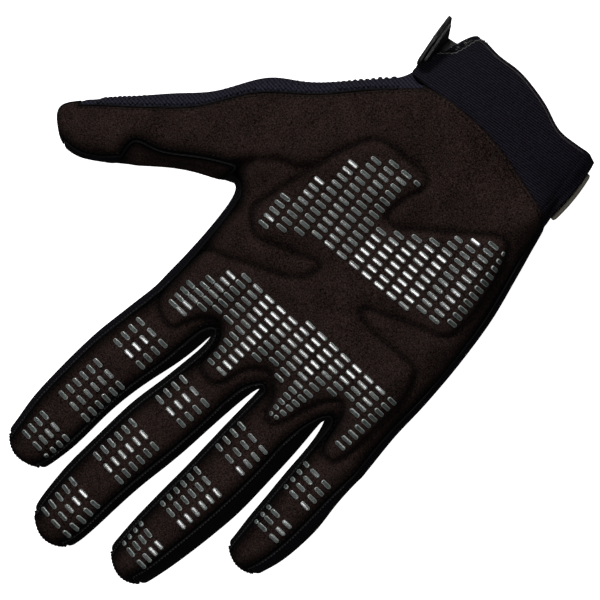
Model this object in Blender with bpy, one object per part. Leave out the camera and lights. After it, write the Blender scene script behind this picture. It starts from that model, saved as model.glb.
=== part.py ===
# A right-hand motocross glove, lying on its back with the palm up.
# Metres, +Z up, fingers towards +Y, thumb towards +X. The origin is on the underside, in the middle of the palm.
#
# The whole glove skin is one smooth surface through rings of points worked out from the tables below. Each panel
# is a patch of that surface, drawn back a little from its seams and thickened inwards, so the glove stays hollow.
import math
from collections import namedtuple

import bpy
import numpy as np

# Lengths of the hand, from the wrist seam to the webs and from the webs to the fingertips
PALM_LENGTH = 0.118
LITTLE_LENGTH = 0.061
RING_LENGTH = 0.0905
MIDDLE_LENGTH = 0.0975
INDEX_LENGTH = 0.086
THUMB_LENGTH = 0.093
CUFF_LENGTH = 0.0265

# Widths: the hand is as wide as its four fingers and the gaps between them
LITTLE_WIDTH = 0.022
RING_WIDTH = 0.025
MIDDLE_WIDTH = 0.024
INDEX_WIDTH = 0.0265
FINGER_GAP = 0.0014
THUMB_WIDTH = 0.030

# Depths, from the floor to the palm side
PALM_DEPTH = 0.027
FINGER_DEPTH = 0.0175
THUMB_DEPTH = 0.0215
THUMB_ANGLE = math.radians(45)

# Cloth and leather
PALM_WALL = 0.0016
PATCH_WALL = 0.0016
BACK_WALL = 0.0014
FOURCHETTE_WALL = 0.0012
CUFF_WALL = 0.0018
SEAM_GAP = 0.0004

# Closure strap over the back of the wrist, with its free end turned up on the thumb side
STRAP_WIDTH = 0.0195
STRAP_THICKNESS = 0.0016
STRAP_END_HEIGHT = 0.019
STRAP_CLEARANCE = 0.0006
STRAP_BEND = 0.004          # radius of the strap's turns
STRAP_LEAN = 0.0045
HOOK_PATCH_THICKNESS = 0.0011
HOOK_PATCH_HEIGHT = 0.011

FLATNESS = 2.3          # power of the rounded cross-sections: 2 is an ellipse
CAGE_PASSES = 12        # how often the control points are corrected towards the table points

KNUCKLE_WIDTH = LITTLE_WIDTH + RING_WIDTH + MIDDLE_WIDTH + INDEX_WIDTH + 3 * FINGER_GAP
LITTLE_SIDE = -0.638 * KNUCKLE_WIDTH
WRIST_Y = -0.508 * PALM_LENGTH
STRAP_START = WRIST_Y - 0.003

# Fingers: where each starts (share of the palm's length), its sizes, and how far over its section the seams
# of the palm panel lie (share of the half width). Ring and little finger are rolled, so theirs are uneven, and
# the left seam shifts from seam_root at the knuckles to seam_left at half length.
Finger = namedtuple("Finger", "name root length width depth seam_root seam_left seam_right rows tip")
# Ring of a finger: share of its length, sideways shift, width and depth as shares of its width and depth
FingerRing = namedtuple("FingerRing", "along shift wide deep")

FINGERS = (
    Finger("little", 0.902, LITTLE_LENGTH, LITTLE_WIDTH, 0.90 * FINGER_DEPTH, -0.92, -0.60, 0.84, (
        FingerRing(0.13, 0.000, 1.000, 1.10),
        FingerRing(0.30, -0.075, 0.977, 1.03),
        FingerRing(0.47, -0.160, 1.000, 1.02),
        FingerRing(0.63, -0.214, 0.964, 0.98),
        FingerRing(0.78, -0.243, 0.877, 0.90),
        FingerRing(0.89, -0.245, 0.755, 0.84),
        FingerRing(0.96, -0.235, 0.590, 0.66)), FingerRing(1.0, -0.245, 0, 0.40)),
    Finger("ring", 0.949, RING_LENGTH, RING_WIDTH, FINGER_DEPTH, -0.64, -0.56, 0.88, (
        FingerRing(0.10, -0.014, 0.996, 1.10),
        FingerRing(0.27, -0.076, 1.016, 1.03),
        FingerRing(0.44, -0.136, 1.016, 1.00),
        FingerRing(0.61, -0.166, 0.964, 0.97),
        FingerRing(0.77, -0.172, 0.888, 0.90),
        FingerRing(0.89, -0.178, 0.780, 0.84),
        FingerRing(0.96, -0.175, 0.610, 0.66)), FingerRing(1.0, -0.200, 0, 0.40)),
    Finger("middle", 0.9915, MIDDLE_LENGTH, MIDDLE_WIDTH, FINGER_DEPTH, -0.74, -0.78, 0.86, (
        FingerRing(0.09, 0.002, 0.996, 1.10),
        FingerRing(0.25, 0.012, 1.017, 1.04),
        FingerRing(0.42, 0.027, 1.062, 1.02),
        FingerRing(0.58, 0.031, 1.004, 0.98),
        FingerRing(0.74, 0.004, 0.967, 0.92),
        FingerRing(0.87, -0.046, 0.900, 0.86),
        FingerRing(0.955, -0.066, 0.700, 0.67)), FingerRing(1.0, -0.080, 0, 0.40)),
    Finger("index", 0.983, INDEX_LENGTH, INDEX_WIDTH, FINGER_DEPTH, -0.70, -0.84, 0.85, (
        FingerRing(0.10, 0.000, 1.004, 1.10),
        FingerRing(0.27, 0.036, 0.989, 1.03),
        FingerRing(0.44, 0.083, 0.932, 1.00),
        FingerRing(0.61, 0.068, 0.887, 0.97),
        FingerRing(0.77, 0.026, 0.864, 0.90),
        FingerRing(0.89, -0.009, 0.747, 0.84),
        FingerRing(0.96, -0.009, 0.600, 0.66)), FingerRing(1.0, 0.017, 0, 0.40)),
)

# Webs between the fingers: height of the slit's foot (share of the palm's length) and its sideways shift
# (share of the knuckle width)
Web = namedtuple("Web", "along shift")
WEBS = (Web(0.897, 0.014), Web(0.990, 0.000), Web(0.988, 0.012))

# Rings of the palm and the cuff, from the knuckles to the mouth. along is a share of the palm's length at the
# little-finger side, in the middle and at the thumb side; left and right are the outline as shares of the
# knuckle width; low, mid and high are the heights over the little-finger side, the middle and the thumb side,
# rim the height of the widest points, all as shares of the palm's depth; seams are how far the two side seams
# lie inside the outline, as shares of the knuckle width.
PalmRing = namedtuple("PalmRing", "name along left right low mid high rim seams")
PALM_RINGS = (
    PalmRing("knuckles", (0.925, 0.99, 0.985), -0.633, 0.366, 0.72, 0.74, 0.72, 0.33, (0.022, 0.020)),
    PalmRing("upper palm", (0.785, 0.83, 0.85), -0.602, 0.380, 0.80, 0.78, 0.80, 0.40, (0.016, 0.016)),
    PalmRing("thumb crotch", (0.650, 0.66, 0.66), -0.584, 0.424, 0.90, 0.80, 0.90, 0.46, (0.012, 0.014)),
    PalmRing("upper heel", (0.475, 0.475, 0.475), -0.551, 0.410, 0.98, 0.82, 0.99, 0.50, (0.012, 0.012)),
    PalmRing("lower heel", (0.315, 0.30, 0.28), -0.508, 0.396, 1.00, 0.88, 1.00, 0.50, (0.012, 0.012)),
    PalmRing("thumb root", (0.150, 0.12, 0.085), -0.444, 0.386, 0.95, 0.90, 0.95, 0.50, (0.012, 0.050)),
    PalmRing("wrist", (0.012, -0.042, 0.005), -0.392, 0.342, 0.84, 0.86, 0.84, 0.48, (0.012, 0.066)),
)
THUMB_RINGS_ON_PALM = (2, 3, 4, 5)      # the palm rings whose thumb side opens into the thumb

# Rings of the cuff: along is a share of the cuff's length; seam is the line where the palm side of the cuff
# meets its back, edge the free edge of the palm side, flap the outer edge of the back, as shares of the width
WRIST_CUFF_SEAM = -0.338
CuffRing = namedtuple("CuffRing", "along left seam edge flap height rim")
CUFF_RINGS = (
    CuffRing((0.27, 0.46, 0.29), -0.373, -0.330, 0.320, 0.326, 0.82, 0.46),
    CuffRing((0.64, 0.77, 0.62), -0.362, -0.306, 0.296, 0.317, 0.79, 0.42),
    CuffRing((1.04, 1.07, 0.97), -0.334, -0.284, 0.274, 0.286, 0.76, 0.38),
)

# Rings of the thumb: the ends of each across line, upper beside the index finger and lower at the outer side,
# as shares of the thumb's length along it and of its width across it; patch and seam are the lines of the
# crotch patch and of the outer seam as shares of the way over; deep is a share of the thumb's depth
ThumbRing = namedtuple("ThumbRing", "upper lower patch seam deep")
THUMB_RINGS = (
    ThumbRing((0.331, 0.600), (-0.118, -0.697), 0.15, 0.88, 1.16),
    ThumbRing((0.418, 0.543), (0.045, -0.660), 0.14, 0.88, 1.08),
    ThumbRing((0.525, 0.493), (0.194, -0.673), 0.13, 0.83, 1.02),
    ThumbRing((0.643, 0.483), (0.376, -0.483), 0.17, 0.81, 0.97),
    ThumbRing((0.749, 0.483), (0.537, -0.413), 0.27, 0.80, 0.93),
    ThumbRing((0.840, 0.460), (0.696, -0.343), 0.32, 0.84, 0.88),
    ThumbRing((0.915, 0.407), (0.817, -0.293), 0.34, 0.88, 0.76),
    ThumbRing((0.972, 0.280), (0.915, -0.245), 0.35, 0.90, 0.56),
)
THUMB_TIP = ThumbRing((0.996, 0.100), (0.996, -0.150), 0, 0, 0.38)
THUMB_ROOT = (0.403 * KNUCKLE_WIDTH, WRIST_Y + 0.373 * PALM_LENGTH)
PATCH_BANDS = 4         # bands of the thumb that the crotch patch covers, from its first ring

FINGER_COLUMNS = 2      # cells over the palm side of each finger
COLUMNS = FINGER_COLUMNS * len(FINGERS) + 1

PANELS = ("palm_panel", "back_panel", "thumb_patch", "fourchette_little_ring", "fourchette_ring_middle",
          "fourchette_middle_index", "cuff_palm", "cuff_back")
WALLS = dict(zip(PANELS, (PALM_WALL, BACK_WALL, PATCH_WALL, FOURCHETTE_WALL, FOURCHETTE_WALL, FOURCHETTE_WALL,
                          CUFF_WALL, CUFF_WALL)))

# Colours as linear red, green and blue, with a roughness
Finish = namedtuple("Finish", "colour roughness")
SUEDE = Finish((0.014, 0.009, 0.008), 0.95)
KNIT = Finish((0.012, 0.012, 0.022), 0.9)
DARK_KNIT = Finish((0.006, 0.006, 0.008), 0.9)
TWILL = Finish((0.008, 0.008, 0.015), 0.85)
STRAP_RUBBER = Finish((0.012, 0.012, 0.013), 0.6)
HOOK_TAPE = Finish((0.006, 0.006, 0.006), 0.8)
FINISHES = {"palm_panel": SUEDE, "thumb_patch": SUEDE, "back_panel": KNIT, "cuff_palm": TWILL,
            "cuff_back": TWILL, "closure_strap": STRAP_RUBBER, "hook_patch": HOOK_TAPE}


def rounded(offset):
    """Height of the rounded section at a sideways offset, both as shares of the half size."""
    return (1 - np.minimum(np.abs(offset), 1) ** FLATNESS) ** (1 / FLATNESS)


class Cage:
    """The rings of table points and the faces between them, each marked with its panel."""

    def __init__(self):
        self.points = []
        self.faces = []
        self.panels = []

    def add(self, points):
        start = len(self.points)
        self.points += [tuple(point) for point in points]
        return list(range(start, len(self.points)))

    def face(self, corners, panel):
        self.faces.append(tuple(corners))
        self.panels.append(PANELS.index(panel))

    def band(self, near, far, panels):
        """Faces between two rings. A panel of None leaves that cell open."""
        count = len(near)
        for cell, panel in enumerate(panels):
            after = (cell + 1) % count
            if panel:
                self.face((near[cell], near[after], far[after], far[cell]), panel)


def finger_centres():
    """Sideways place of each finger's root, side by side from the little finger."""
    centres = []
    edge = LITTLE_SIDE
    for finger in FINGERS:
        centres.append(edge + finger.width / 2)
        edge += finger.width + FINGER_GAP
    return centres


def across(values, count):
    """Smooth values over a ring's columns from those at its left, middle and right."""
    left, middle, right = values
    share = np.linspace(-1, 1, count)
    return middle + (right - left) / 2 * share + ((left + right) / 2 - middle) * share ** 2


def knuckle_columns():
    """Places of the palm side's columns at the knuckles: a finger's middle or a web."""
    centres = finger_centres()
    edge = PALM_RINGS[0]
    places = [((edge.left + edge.seams[0]) * KNUCKLE_WIDTH, edge.along[0])]
    for number, finger in enumerate(FINGERS):
        places.append((centres[number], finger.root))
        if number < len(WEBS):
            web_x = centres[number] + finger.width / 2 + FINGER_GAP / 2
            places.append((web_x + WEBS[number].shift * KNUCKLE_WIDTH, WEBS[number].along))
    places.append(((edge.right - edge.seams[1]) * KNUCKLE_WIDTH, edge.along[2]))
    return places


def palm_ring(number):
    """Palm side columns, thumb side, back columns and little-finger side of one palm ring."""
    ring = PALM_RINGS[number]
    left = ring.left * KNUCKLE_WIDTH
    right = ring.right * KNUCKLE_WIDTH
    knuckles = knuckle_columns()
    knuckle_share = np.array([(x - knuckles[0][0]) / (knuckles[-1][0] - knuckles[0][0]) for x, _ in knuckles])
    even_share = np.linspace(0, 1, COLUMNS)
    towards_wrist = number / (len(PALM_RINGS) - 1)
    share = knuckle_share * (1 - towards_wrist) + even_share * towards_wrist
    insets = np.array(ring.seams) * KNUCKLE_WIDTH
    x = left + insets[0] + share * (right - left - insets.sum())
    y = WRIST_Y + PALM_LENGTH * across(ring.along, COLUMNS)
    z = PALM_DEPTH * across((ring.low, ring.mid, ring.high), COLUMNS)
    if number == 0:
        x = np.array([place[0] for place in knuckles])
        y = WRIST_Y + PALM_LENGTH * np.array([place[1] for place in knuckles])
        webs = slice(FINGER_COLUMNS, COLUMNS - 1, FINGER_COLUMNS)
        z[webs] -= 0.14 * PALM_DEPTH
    if ring.name == "wrist":
        x[1] = WRIST_CUFF_SEAM * KNUCKLE_WIDTH
    rim = ring.rim * PALM_DEPTH
    heights = PALM_DEPTH * (0.5 + 0.5 * rounded(1 - 2 * insets / (right - left)))
    opens_to_thumb = number in THUMB_RINGS_ON_PALM[1:-1]
    z[0] = ring.low * heights[0]
    z[-1] = 0.93 * PALM_DEPTH if opens_to_thumb else ring.high * heights[1]
    lift = strap_lift() if ring.name == "wrist" else 0.0
    back_x = (x - (left + right) / 2) * 0.93 + (left + right) / 2
    back_z = np.full(COLUMNS, lift)
    back_z[0] += 0.13 * PALM_DEPTH
    back_z[-1] += 0.0 if opens_to_thumb else 0.13 * PALM_DEPTH
    palm_side = np.stack([x, y, z], axis=1)
    back = np.stack([back_x, y, back_z], axis=1)
    return palm_side, (right, y[-1], rim), back, (left, y[0], rim)


def strap_lift():
    """Height of the underside of the cuff: it lies on the strap."""
    return STRAP_THICKNESS + STRAP_CLEARANCE


def cuff_ring(number):
    """The same four runs of points for a cuff ring. Its thumb side is the outer edge of the back flap."""
    ring = CUFF_RINGS[number]
    left, seam, edge, flap = (share * KNUCKLE_WIDTH for share in (ring.left, ring.seam, ring.edge, ring.flap))
    x = np.concatenate([[left + 0.015 * KNUCKLE_WIDTH], np.linspace(seam, edge, COLUMNS - 1)])
    y = WRIST_Y - CUFF_LENGTH * across(ring.along, COLUMNS)
    middle = (left + edge) / 2
    half = (edge - left) / 2
    z = PALM_DEPTH * ring.height * (0.35 + 0.65 * rounded((x - middle) / half * 0.97))
    back_x = np.linspace(left + 0.05 * KNUCKLE_WIDTH, flap - 0.05 * KNUCKLE_WIDTH, COLUMNS)
    back_z = np.full(COLUMNS, strap_lift())
    back_z[0] += 0.08 * PALM_DEPTH
    palm_side = np.stack([x, y, z], axis=1)
    back = np.stack([back_x, y, back_z], axis=1)
    return palm_side, (flap, y[-1], back_z[-1] + 0.05 * PALM_DEPTH), back, (left, y[0], ring.rim * PALM_DEPTH)


def finger_ring(finger, centre, ring):
    """Eight points round a finger: palm side left to right, right side, back right to left, left side."""
    half = ring.wide * finger.width / 2
    deep = ring.deep * finger.depth
    x = centre + ring.shift * finger.width
    y = WRIST_Y + finger.root * PALM_LENGTH + ring.along * finger.length
    settled = min(2 * ring.along, 1)
    seam_left = finger.seam_root + (finger.seam_left - finger.seam_root) * settled
    offsets = np.array([seam_left, (seam_left + finger.seam_right) / 2, finger.seam_right])
    heights = deep / 2 * (1 + rounded(offsets))
    palm_side = [(x + half * offset, y, z) for offset, z in zip(offsets, heights)]
    back = [(x + half * offset, y, z) for offset, z in ((0.7, 0.07 * deep), (0, 0), (-0.7, 0.07 * deep))]
    return palm_side + [(x + half, y, 0.46 * deep)] + back + [(x - half, y, 0.46 * deep)]


def thumb_place(place):
    """A thumb table place, along and across shares, as sideways and lengthways metres."""
    along = place[0] * THUMB_LENGTH
    over = place[1] * THUMB_WIDTH
    x = THUMB_ROOT[0] + along * math.sin(THUMB_ANGLE) - over * math.cos(THUMB_ANGLE)
    y = THUMB_ROOT[1] + along * math.cos(THUMB_ANGLE) + over * math.sin(THUMB_ANGLE)
    return np.array([x, y])


def thumb_ring(ring):
    """Ten points round the thumb: palm side from the index side outwards, outer side, back, index side."""
    upper = thumb_place(ring.upper)
    lower = thumb_place(ring.lower)
    deep = ring.deep * THUMB_DEPTH
    shares = np.array([0.045, ring.patch, (ring.patch + ring.seam) / 2 + 0.02, ring.seam])
    heights = deep / 2 * (1 + rounded(2 * shares - 1))
    palm_side = [(*(upper + share * (lower - upper)), z) for share, z in zip(shares, heights)]
    back_shares = ((0.90, 0.08), (0.66, 0), (0.34, 0), (0.10, 0.08))
    back = [(*(upper + share * (lower - upper)), z * deep) for share, z in back_shares]
    return palm_side + [(*lower, 0.44 * deep)] + back + [(*upper, 0.46 * deep)]


def add_finger(cage, number, ring_ids, centre, side_panels):
    """The finger's bands and its tip, closed along the side seams."""
    finger = FINGERS[number]
    left_panel, right_panel = side_panels
    band_panels = ["palm_panel"] * 2 + [right_panel] * 2 + ["back_panel"] * 2 + [left_panel] * 2
    near = ring_ids
    for ring in finger.rows:
        far = cage.add(finger_ring(finger, centre, ring))
        cage.band(near, far, band_panels)
        near = far
    tip_y = WRIST_Y + finger.root * PALM_LENGTH + finger.length
    tip = cage.add([(centre + finger.tip.shift * finger.width, tip_y, finger.tip.deep * finger.depth)])[0]
    palm_left, palm_middle, palm_right, right, back_right, back_middle, back_left, left = near
    cage.face((palm_left, palm_middle, tip, left), "palm_panel")
    cage.face((palm_middle, palm_right, right, tip), "palm_panel")
    cage.face((right, back_right, back_middle, tip), "back_panel")
    cage.face((tip, back_middle, back_left, left), "back_panel")


def add_thumb(cage, ring_ids):
    near = ring_ids
    for number, ring in enumerate(THUMB_RINGS):
        far = cage.add(thumb_ring(ring))
        patched = 1 <= number <= PATCH_BANDS
        crotch = "thumb_patch" if patched else "palm_panel"
        index_side = "thumb_patch" if patched else "back_panel"
        cage.band(near, far, [crotch, "palm_panel", "palm_panel", "back_panel", "back_panel",
                              "back_panel", "back_panel", "back_panel", "back_panel", index_side])
        near = far
    upper, lower = thumb_place(THUMB_TIP.upper), thumb_place(THUMB_TIP.lower)
    tips = cage.add([(*place, THUMB_TIP.deep * THUMB_DEPTH) for place in (upper, lower)])
    palm = near[0:4]
    outer = near[4]
    back = near[5:9]
    inner = near[9]
    edge = [inner, tips[0], tips[1], outer]
    for cell in range(3):
        cage.face((palm[cell], palm[cell + 1], edge[cell + 1], edge[cell]), "palm_panel")
        cage.face((edge[cell], edge[cell + 1], back[2 - cell], back[3 - cell]), "back_panel")


def build_cage():
    cage = Cage()
    rings = []
    for number in range(len(PALM_RINGS)):
        palm_side, thumb_side, back, little_side = palm_ring(number)
        rings.append((cage.add(palm_side), cage.add([thumb_side])[0], cage.add(back), cage.add([little_side])[0]))
    cuff_start = len(rings) - 1
    for number in range(len(CUFF_RINGS)):
        palm_side, thumb_side, back, little_side = cuff_ring(number)
        rings.append((cage.add(palm_side), cage.add([thumb_side])[0], cage.add(back), cage.add([little_side])[0]))
    cells = COLUMNS - 1
    for number in range(len(rings) - 1):
        far, near = (ring[0] + [ring[1]] + ring[2][::-1] + [ring[3]] for ring in rings[number:number + 2])
        if number >= cuff_start:
            panels = ["cuff_back"] + ["cuff_palm"] * (cells - 1) + [None] + ["cuff_back"] * (cells + 3)
        else:
            thumb_open = number in THUMB_RINGS_ON_PALM[:-1]
            side = None if thumb_open else "back_panel"
            panels = ["palm_panel"] * cells + [side] * 2 + ["back_panel"] * (cells + 2)
        cage.band(near, far, panels)

    # The webs' middle points join neighbouring fingers between their palm sides and their backs.
    palm, thumb_side, back, little_side = rings[0]
    webs = [little_side]
    for column in range(FINGER_COLUMNS, COLUMNS - 1, FINGER_COLUMNS):
        palm_point, back_point = np.array(cage.points[palm[column]]), np.array(cage.points[back[column]])
        middle = 0.55 * palm_point + 0.45 * back_point
        webs += cage.add([middle + (0, 0.02 * PALM_LENGTH, 0)])
    webs.append(thumb_side)
    between = ["back_panel"] + list(PANELS[3:6]) + ["back_panel"]
    for number, centre in enumerate(finger_centres()):
        column = number * FINGER_COLUMNS
        ring = palm[column:column + 3] + [webs[number + 1]] + back[column:column + 3][::-1] + [webs[number]]
        add_finger(cage, number, ring, centre, (between[number], between[number + 1]))

    thumb = [rings[number] for number in THUMB_RINGS_ON_PALM]
    add_thumb(cage, [ring[0][-1] for ring in thumb] + [thumb[-1][1]]
              + [ring[2][-1] for ring in thumb[::-1]] + [thumb[0][1]])
    used, faces = np.unique(np.array(cage.faces), return_inverse=True)
    return np.array(cage.points)[used], faces.reshape(-1, 4), np.array(cage.panels)


def limit_points(points, quads):
    """Where the smooth surface puts each control point: a weighted mean of it and of the points round it."""
    starts, ends = quads, np.roll(quads, -1, axis=1)
    opposite = np.roll(quads, -2, axis=1)
    edges = np.sort(np.stack([starts.ravel(), ends.ravel()], axis=1), axis=1)
    edges, uses = np.unique(edges, axis=0, return_counts=True)
    near_edge = np.zeros_like(points)
    near_face = np.zeros_like(points)
    near_rim = np.zeros_like(points)
    valence = np.zeros(len(points))
    for a, b in ((0, 1), (1, 0)):
        np.add.at(near_edge, edges[:, a], points[edges[:, b]])
        np.add.at(valence, edges[:, a], 1)
        rim = uses == 1
        np.add.at(near_rim, edges[rim, a], points[edges[rim, b]])
    np.add.at(near_face, starts.ravel(), points[opposite.ravel()])
    weight = valence[:, None]
    inside = (weight ** 2 * points + 4 * near_edge + near_face) / (weight * (weight + 5))
    on_rim = np.zeros(len(points), bool)
    on_rim[edges[uses == 1].ravel()] = True
    return np.where(on_rim[:, None], (4 * points + near_rim) / 6, inside)


def mesh_arrays(mesh):
    points = np.empty(len(mesh.vertices) * 3)
    mesh.vertices.foreach_get("co", points)
    corners = np.empty(len(mesh.loops), int)
    mesh.loops.foreach_get("vertex_index", corners)
    panels = np.empty(len(mesh.polygons), int)
    mesh.polygons.foreach_get("material_index", panels)
    return points.reshape(-1, 3), corners.reshape(-1, 4), panels


def point_normals(points, quads):
    a, b, c, d = (points[quads[:, corner]] for corner in range(4))
    facing = np.cross(c - a, d - b)
    total = np.zeros_like(points)
    for corner in range(4):
        np.add.at(total, quads[:, corner], facing)
    return total / np.linalg.norm(total, axis=1, keepdims=True)


def smooth_skin():
    """The glove's outer surface as points, four-sided faces, the panel of each face, and point normals."""
    target, quads, panels = build_cage()
    cage = target.copy()
    for _ in range(CAGE_PASSES):
        cage += target - limit_points(cage, quads)
    mesh = bpy.data.meshes.new("skin")
    mesh.from_pydata(cage.tolist(), [], quads.tolist())
    for panel in PANELS:
        mesh.materials.append(bpy.data.materials.new(panel + "_mark"))
    mesh.polygons.foreach_set("material_index", panels.astype(np.int32))
    skin = bpy.data.objects.new("skin", mesh)
    bpy.context.scene.collection.objects.link(skin)
    smoother = skin.modifiers.new("smooth", "SUBSURF")
    smoother.levels = smoother.render_levels = 1
    evaluated = skin.evaluated_get(bpy.context.evaluated_depsgraph_get())
    points, quads, panels = mesh_arrays(evaluated.to_mesh())
    evaluated.to_mesh_clear()
    bpy.data.objects.remove(skin)
    for panel in PANELS:
        bpy.data.materials.remove(bpy.data.materials[panel + "_mark"])
    points[:, 2] = np.maximum(points[:, 2], 0)
    return points, quads, panels, point_normals(points, quads)


def plain_material(name):
    finish = FINISHES.get(name, DARK_KNIT)
    material = bpy.data.materials.new(name)
    material.use_nodes = True
    shader = material.node_tree.nodes["Principled BSDF"]
    shader.inputs["Base Color"].default_value = (*finish.colour, 1)
    shader.inputs["Roughness"].default_value = finish.roughness
    return material


def make_object(name, points, faces):
    mesh = bpy.data.meshes.new(name)
    mesh.from_pydata(points, [], faces)
    mesh.validate()
    mesh.shade_smooth()
    mesh.set_sharp_from_angle(angle=math.radians(40))
    mesh.materials.append(plain_material(name))
    piece = bpy.data.objects.new(name, mesh)
    bpy.context.scene.collection.objects.link(piece)
    return piece


def thickened(name, points, inner, quads):
    """A closed solid from an outer sheet and its inner copy: both sheets and the walls round their rims."""
    count = len(points)
    edges = {}
    for quad in quads.tolist():
        for corner in range(4):
            edges[(quad[corner], quad[(corner + 1) % 4])] = True
    rims = [(a, b) for a, b in edges if (b, a) not in edges]
    faces = quads.tolist()
    faces += [[count + corner for corner in quad[::-1]] for quad in quads.tolist()]
    faces += [[b, a, count + a, count + b] for a, b in rims]
    make_object(name, np.concatenate([points, inner]).tolist(), faces)


def seam_pull(points, normals, quads, distance):
    """Points on the rim of a panel drawn back into it by a distance, at right angles to the rim."""
    directed = np.stack([quads.ravel(), np.roll(quads, -1, axis=1).ravel()], axis=1)
    size = len(points)
    forward = directed[:, 0] * size + directed[:, 1]
    backward = directed[:, 1] * size + directed[:, 0]
    rim = directed[~np.isin(forward, backward)]
    run = points[rim[:, 1]] - points[rim[:, 0]]
    run /= np.linalg.norm(run, axis=1, keepdims=True)
    inward = np.zeros_like(points)
    for end in (0, 1):
        np.add.at(inward, rim[:, end], np.cross(normals[rim[:, end]], run))
    square = np.maximum((inward ** 2).sum(axis=1, keepdims=True), 1.0)
    return points + distance * 2 * inward / square


def make_panel(name, skin):
    points, quads, panels, normals = skin
    own = quads[panels == PANELS.index(name)]
    used, flat = np.unique(own, return_inverse=True)
    quads = flat.reshape(-1, 4)
    normals = normals[used]
    outer = seam_pull(points[used], normals, quads, SEAM_GAP / 2)
    wall = WALLS[name]
    inner = outer - wall * normals
    rests = normals[:, 2] < -0.5
    inner[rests, 2] = np.maximum(inner[rests, 2], wall)
    thickened(name, outer, inner, quads)


def cuff_side(y):
    """Sideways place of the little-finger side of the cuff at a place along the glove."""
    wrist = PALM_RINGS[-1]
    places = [(WRIST_Y + wrist.along[0] * PALM_LENGTH, wrist.left)]
    places += [(WRIST_Y - ring.along[0] * CUFF_LENGTH, ring.left) for ring in CUFF_RINGS]
    places = np.array(places[::-1])
    return np.interp(y, places[:, 0], places[:, 1]) * KNUCKLE_WIDTH


def strap_foot():
    """Sideways place of the strap's turned-up end, clear of the wrist and of the cuff's flap."""
    return PALM_RINGS[-1].right * KNUCKLE_WIDTH + 1.5 * STRAP_CLEARANCE + STRAP_THICKNESS / 2


def strap_end(over, rise):
    """Sideways place and height on the turned-up end: over is the share of the strap's width, 0 at the hand and
    1 at the mouth, and rise the share of the end's height. It leans out further towards the mouth."""
    start = STRAP_THICKNESS / 2 + STRAP_BEND
    return strap_foot() + STRAP_LEAN * over * rise, start + (STRAP_END_HEIGHT - STRAP_BEND) * rise


def strap_centre_line(over):
    """The strap's section from its little-finger end, under the cuff, to the top of the turned-up end."""
    outside = cuff_side(STRAP_START - over * STRAP_WIDTH) - 1.4 * STRAP_CLEARANCE - STRAP_THICKNESS / 2
    low = STRAP_THICKNESS / 2
    turn = np.linspace(0, math.pi / 2, 4)
    middle_x = np.linspace(outside + 2 * STRAP_BEND, strap_foot() - 2 * STRAP_BEND, 12)
    end_x, end_z = strap_end(over, np.linspace(0, 1, 6)[1:])
    x = np.concatenate([[outside], outside + STRAP_BEND * (1 - np.cos(turn)), middle_x,
                        strap_foot() - STRAP_BEND * (1 - np.sin(turn)), end_x])
    z = np.concatenate([[low + 2 * STRAP_BEND], low + STRAP_BEND * (1 - np.sin(turn)), np.full(12, low),
                        low + STRAP_BEND * (1 - np.cos(turn)), end_z])
    return x, z


def sheet_solid(name, grid, side, thickness):
    """A sheet of points on a grid, thickened both ways along the given directions."""
    rows, columns = grid.shape[:2]
    number = np.arange(rows * columns).reshape(rows, columns)
    quads = np.stack([number[:-1, :-1], number[:-1, 1:], number[1:, 1:], number[1:, :-1]], axis=-1).reshape(-1, 4)
    points = grid.reshape(-1, 3)
    shift = thickness / 2 * side.reshape(-1, 3)
    thickened(name, points + shift, points - shift, quads)


def section_sides(x, z):
    """Unit directions at right angles to a section's line, towards the inside of the turn."""
    dx, dz = np.gradient(x), np.gradient(z)
    size = np.hypot(dx, dz)
    return -dz / size, dx / size


def make_strap():
    grid, side = [], []
    for over in np.linspace(1, 0, 5):
        x, z = strap_centre_line(over)
        side_x, side_z = section_sides(x, z)
        grid.append(np.stack([x, np.full(len(x), STRAP_START - over * STRAP_WIDTH), z], axis=1))
        side.append(np.stack([side_x, np.zeros(len(x)), side_z], axis=1))
    sheet_solid("closure_strap", np.array(grid), np.array(side), STRAP_THICKNESS)

    # The hook patch lies on the inner face of the turned-up end, just below its top.
    end_height = STRAP_END_HEIGHT - STRAP_BEND
    top = 0.95
    over, rise = np.meshgrid(np.linspace(0.88, 0.12, 5), np.linspace(top - HOOK_PATCH_HEIGHT / end_height, top, 4),
                             indexing="ij")
    x, z = strap_end(over, rise)
    slope = STRAP_LEAN * over / end_height
    inward = np.stack([-np.ones_like(slope), np.zeros_like(slope), slope], axis=-1)
    inward /= np.linalg.norm(inward, axis=-1, keepdims=True)
    gap = (STRAP_THICKNESS + HOOK_PATCH_THICKNESS) / 2 + SEAM_GAP
    middle = np.stack([x, STRAP_START - over * STRAP_WIDTH, z], axis=-1)
    sheet_solid("hook_patch", middle + gap * inward, inward, HOOK_PATCH_THICKNESS)


def main():
    for old in list(bpy.data.objects):
        bpy.data.objects.remove(old)
    skin = smooth_skin()
    for name in PANELS:
        make_panel(name, skin)
    make_strap()


main()
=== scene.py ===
"""The looks of a right-hand motocross glove that lies on its back with the palm up.

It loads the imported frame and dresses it: quilted suede palm with printed grip bars, knit back and finger
sides, twill cuff, closure strap, welts and stitches, on a white studio floor. Lengths are metres unless a
name ends in MM, +Z is up, the fingers point towards +Y and the thumb towards +X.
"""
import functools
import math
from collections import namedtuple

import bpy
import numpy as np
from bpy.props import FloatProperty, FloatVectorProperty, IntProperty, PointerProperty
from mathutils import Matrix, Vector
from mathutils.bvhtree import BVHTree


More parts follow.
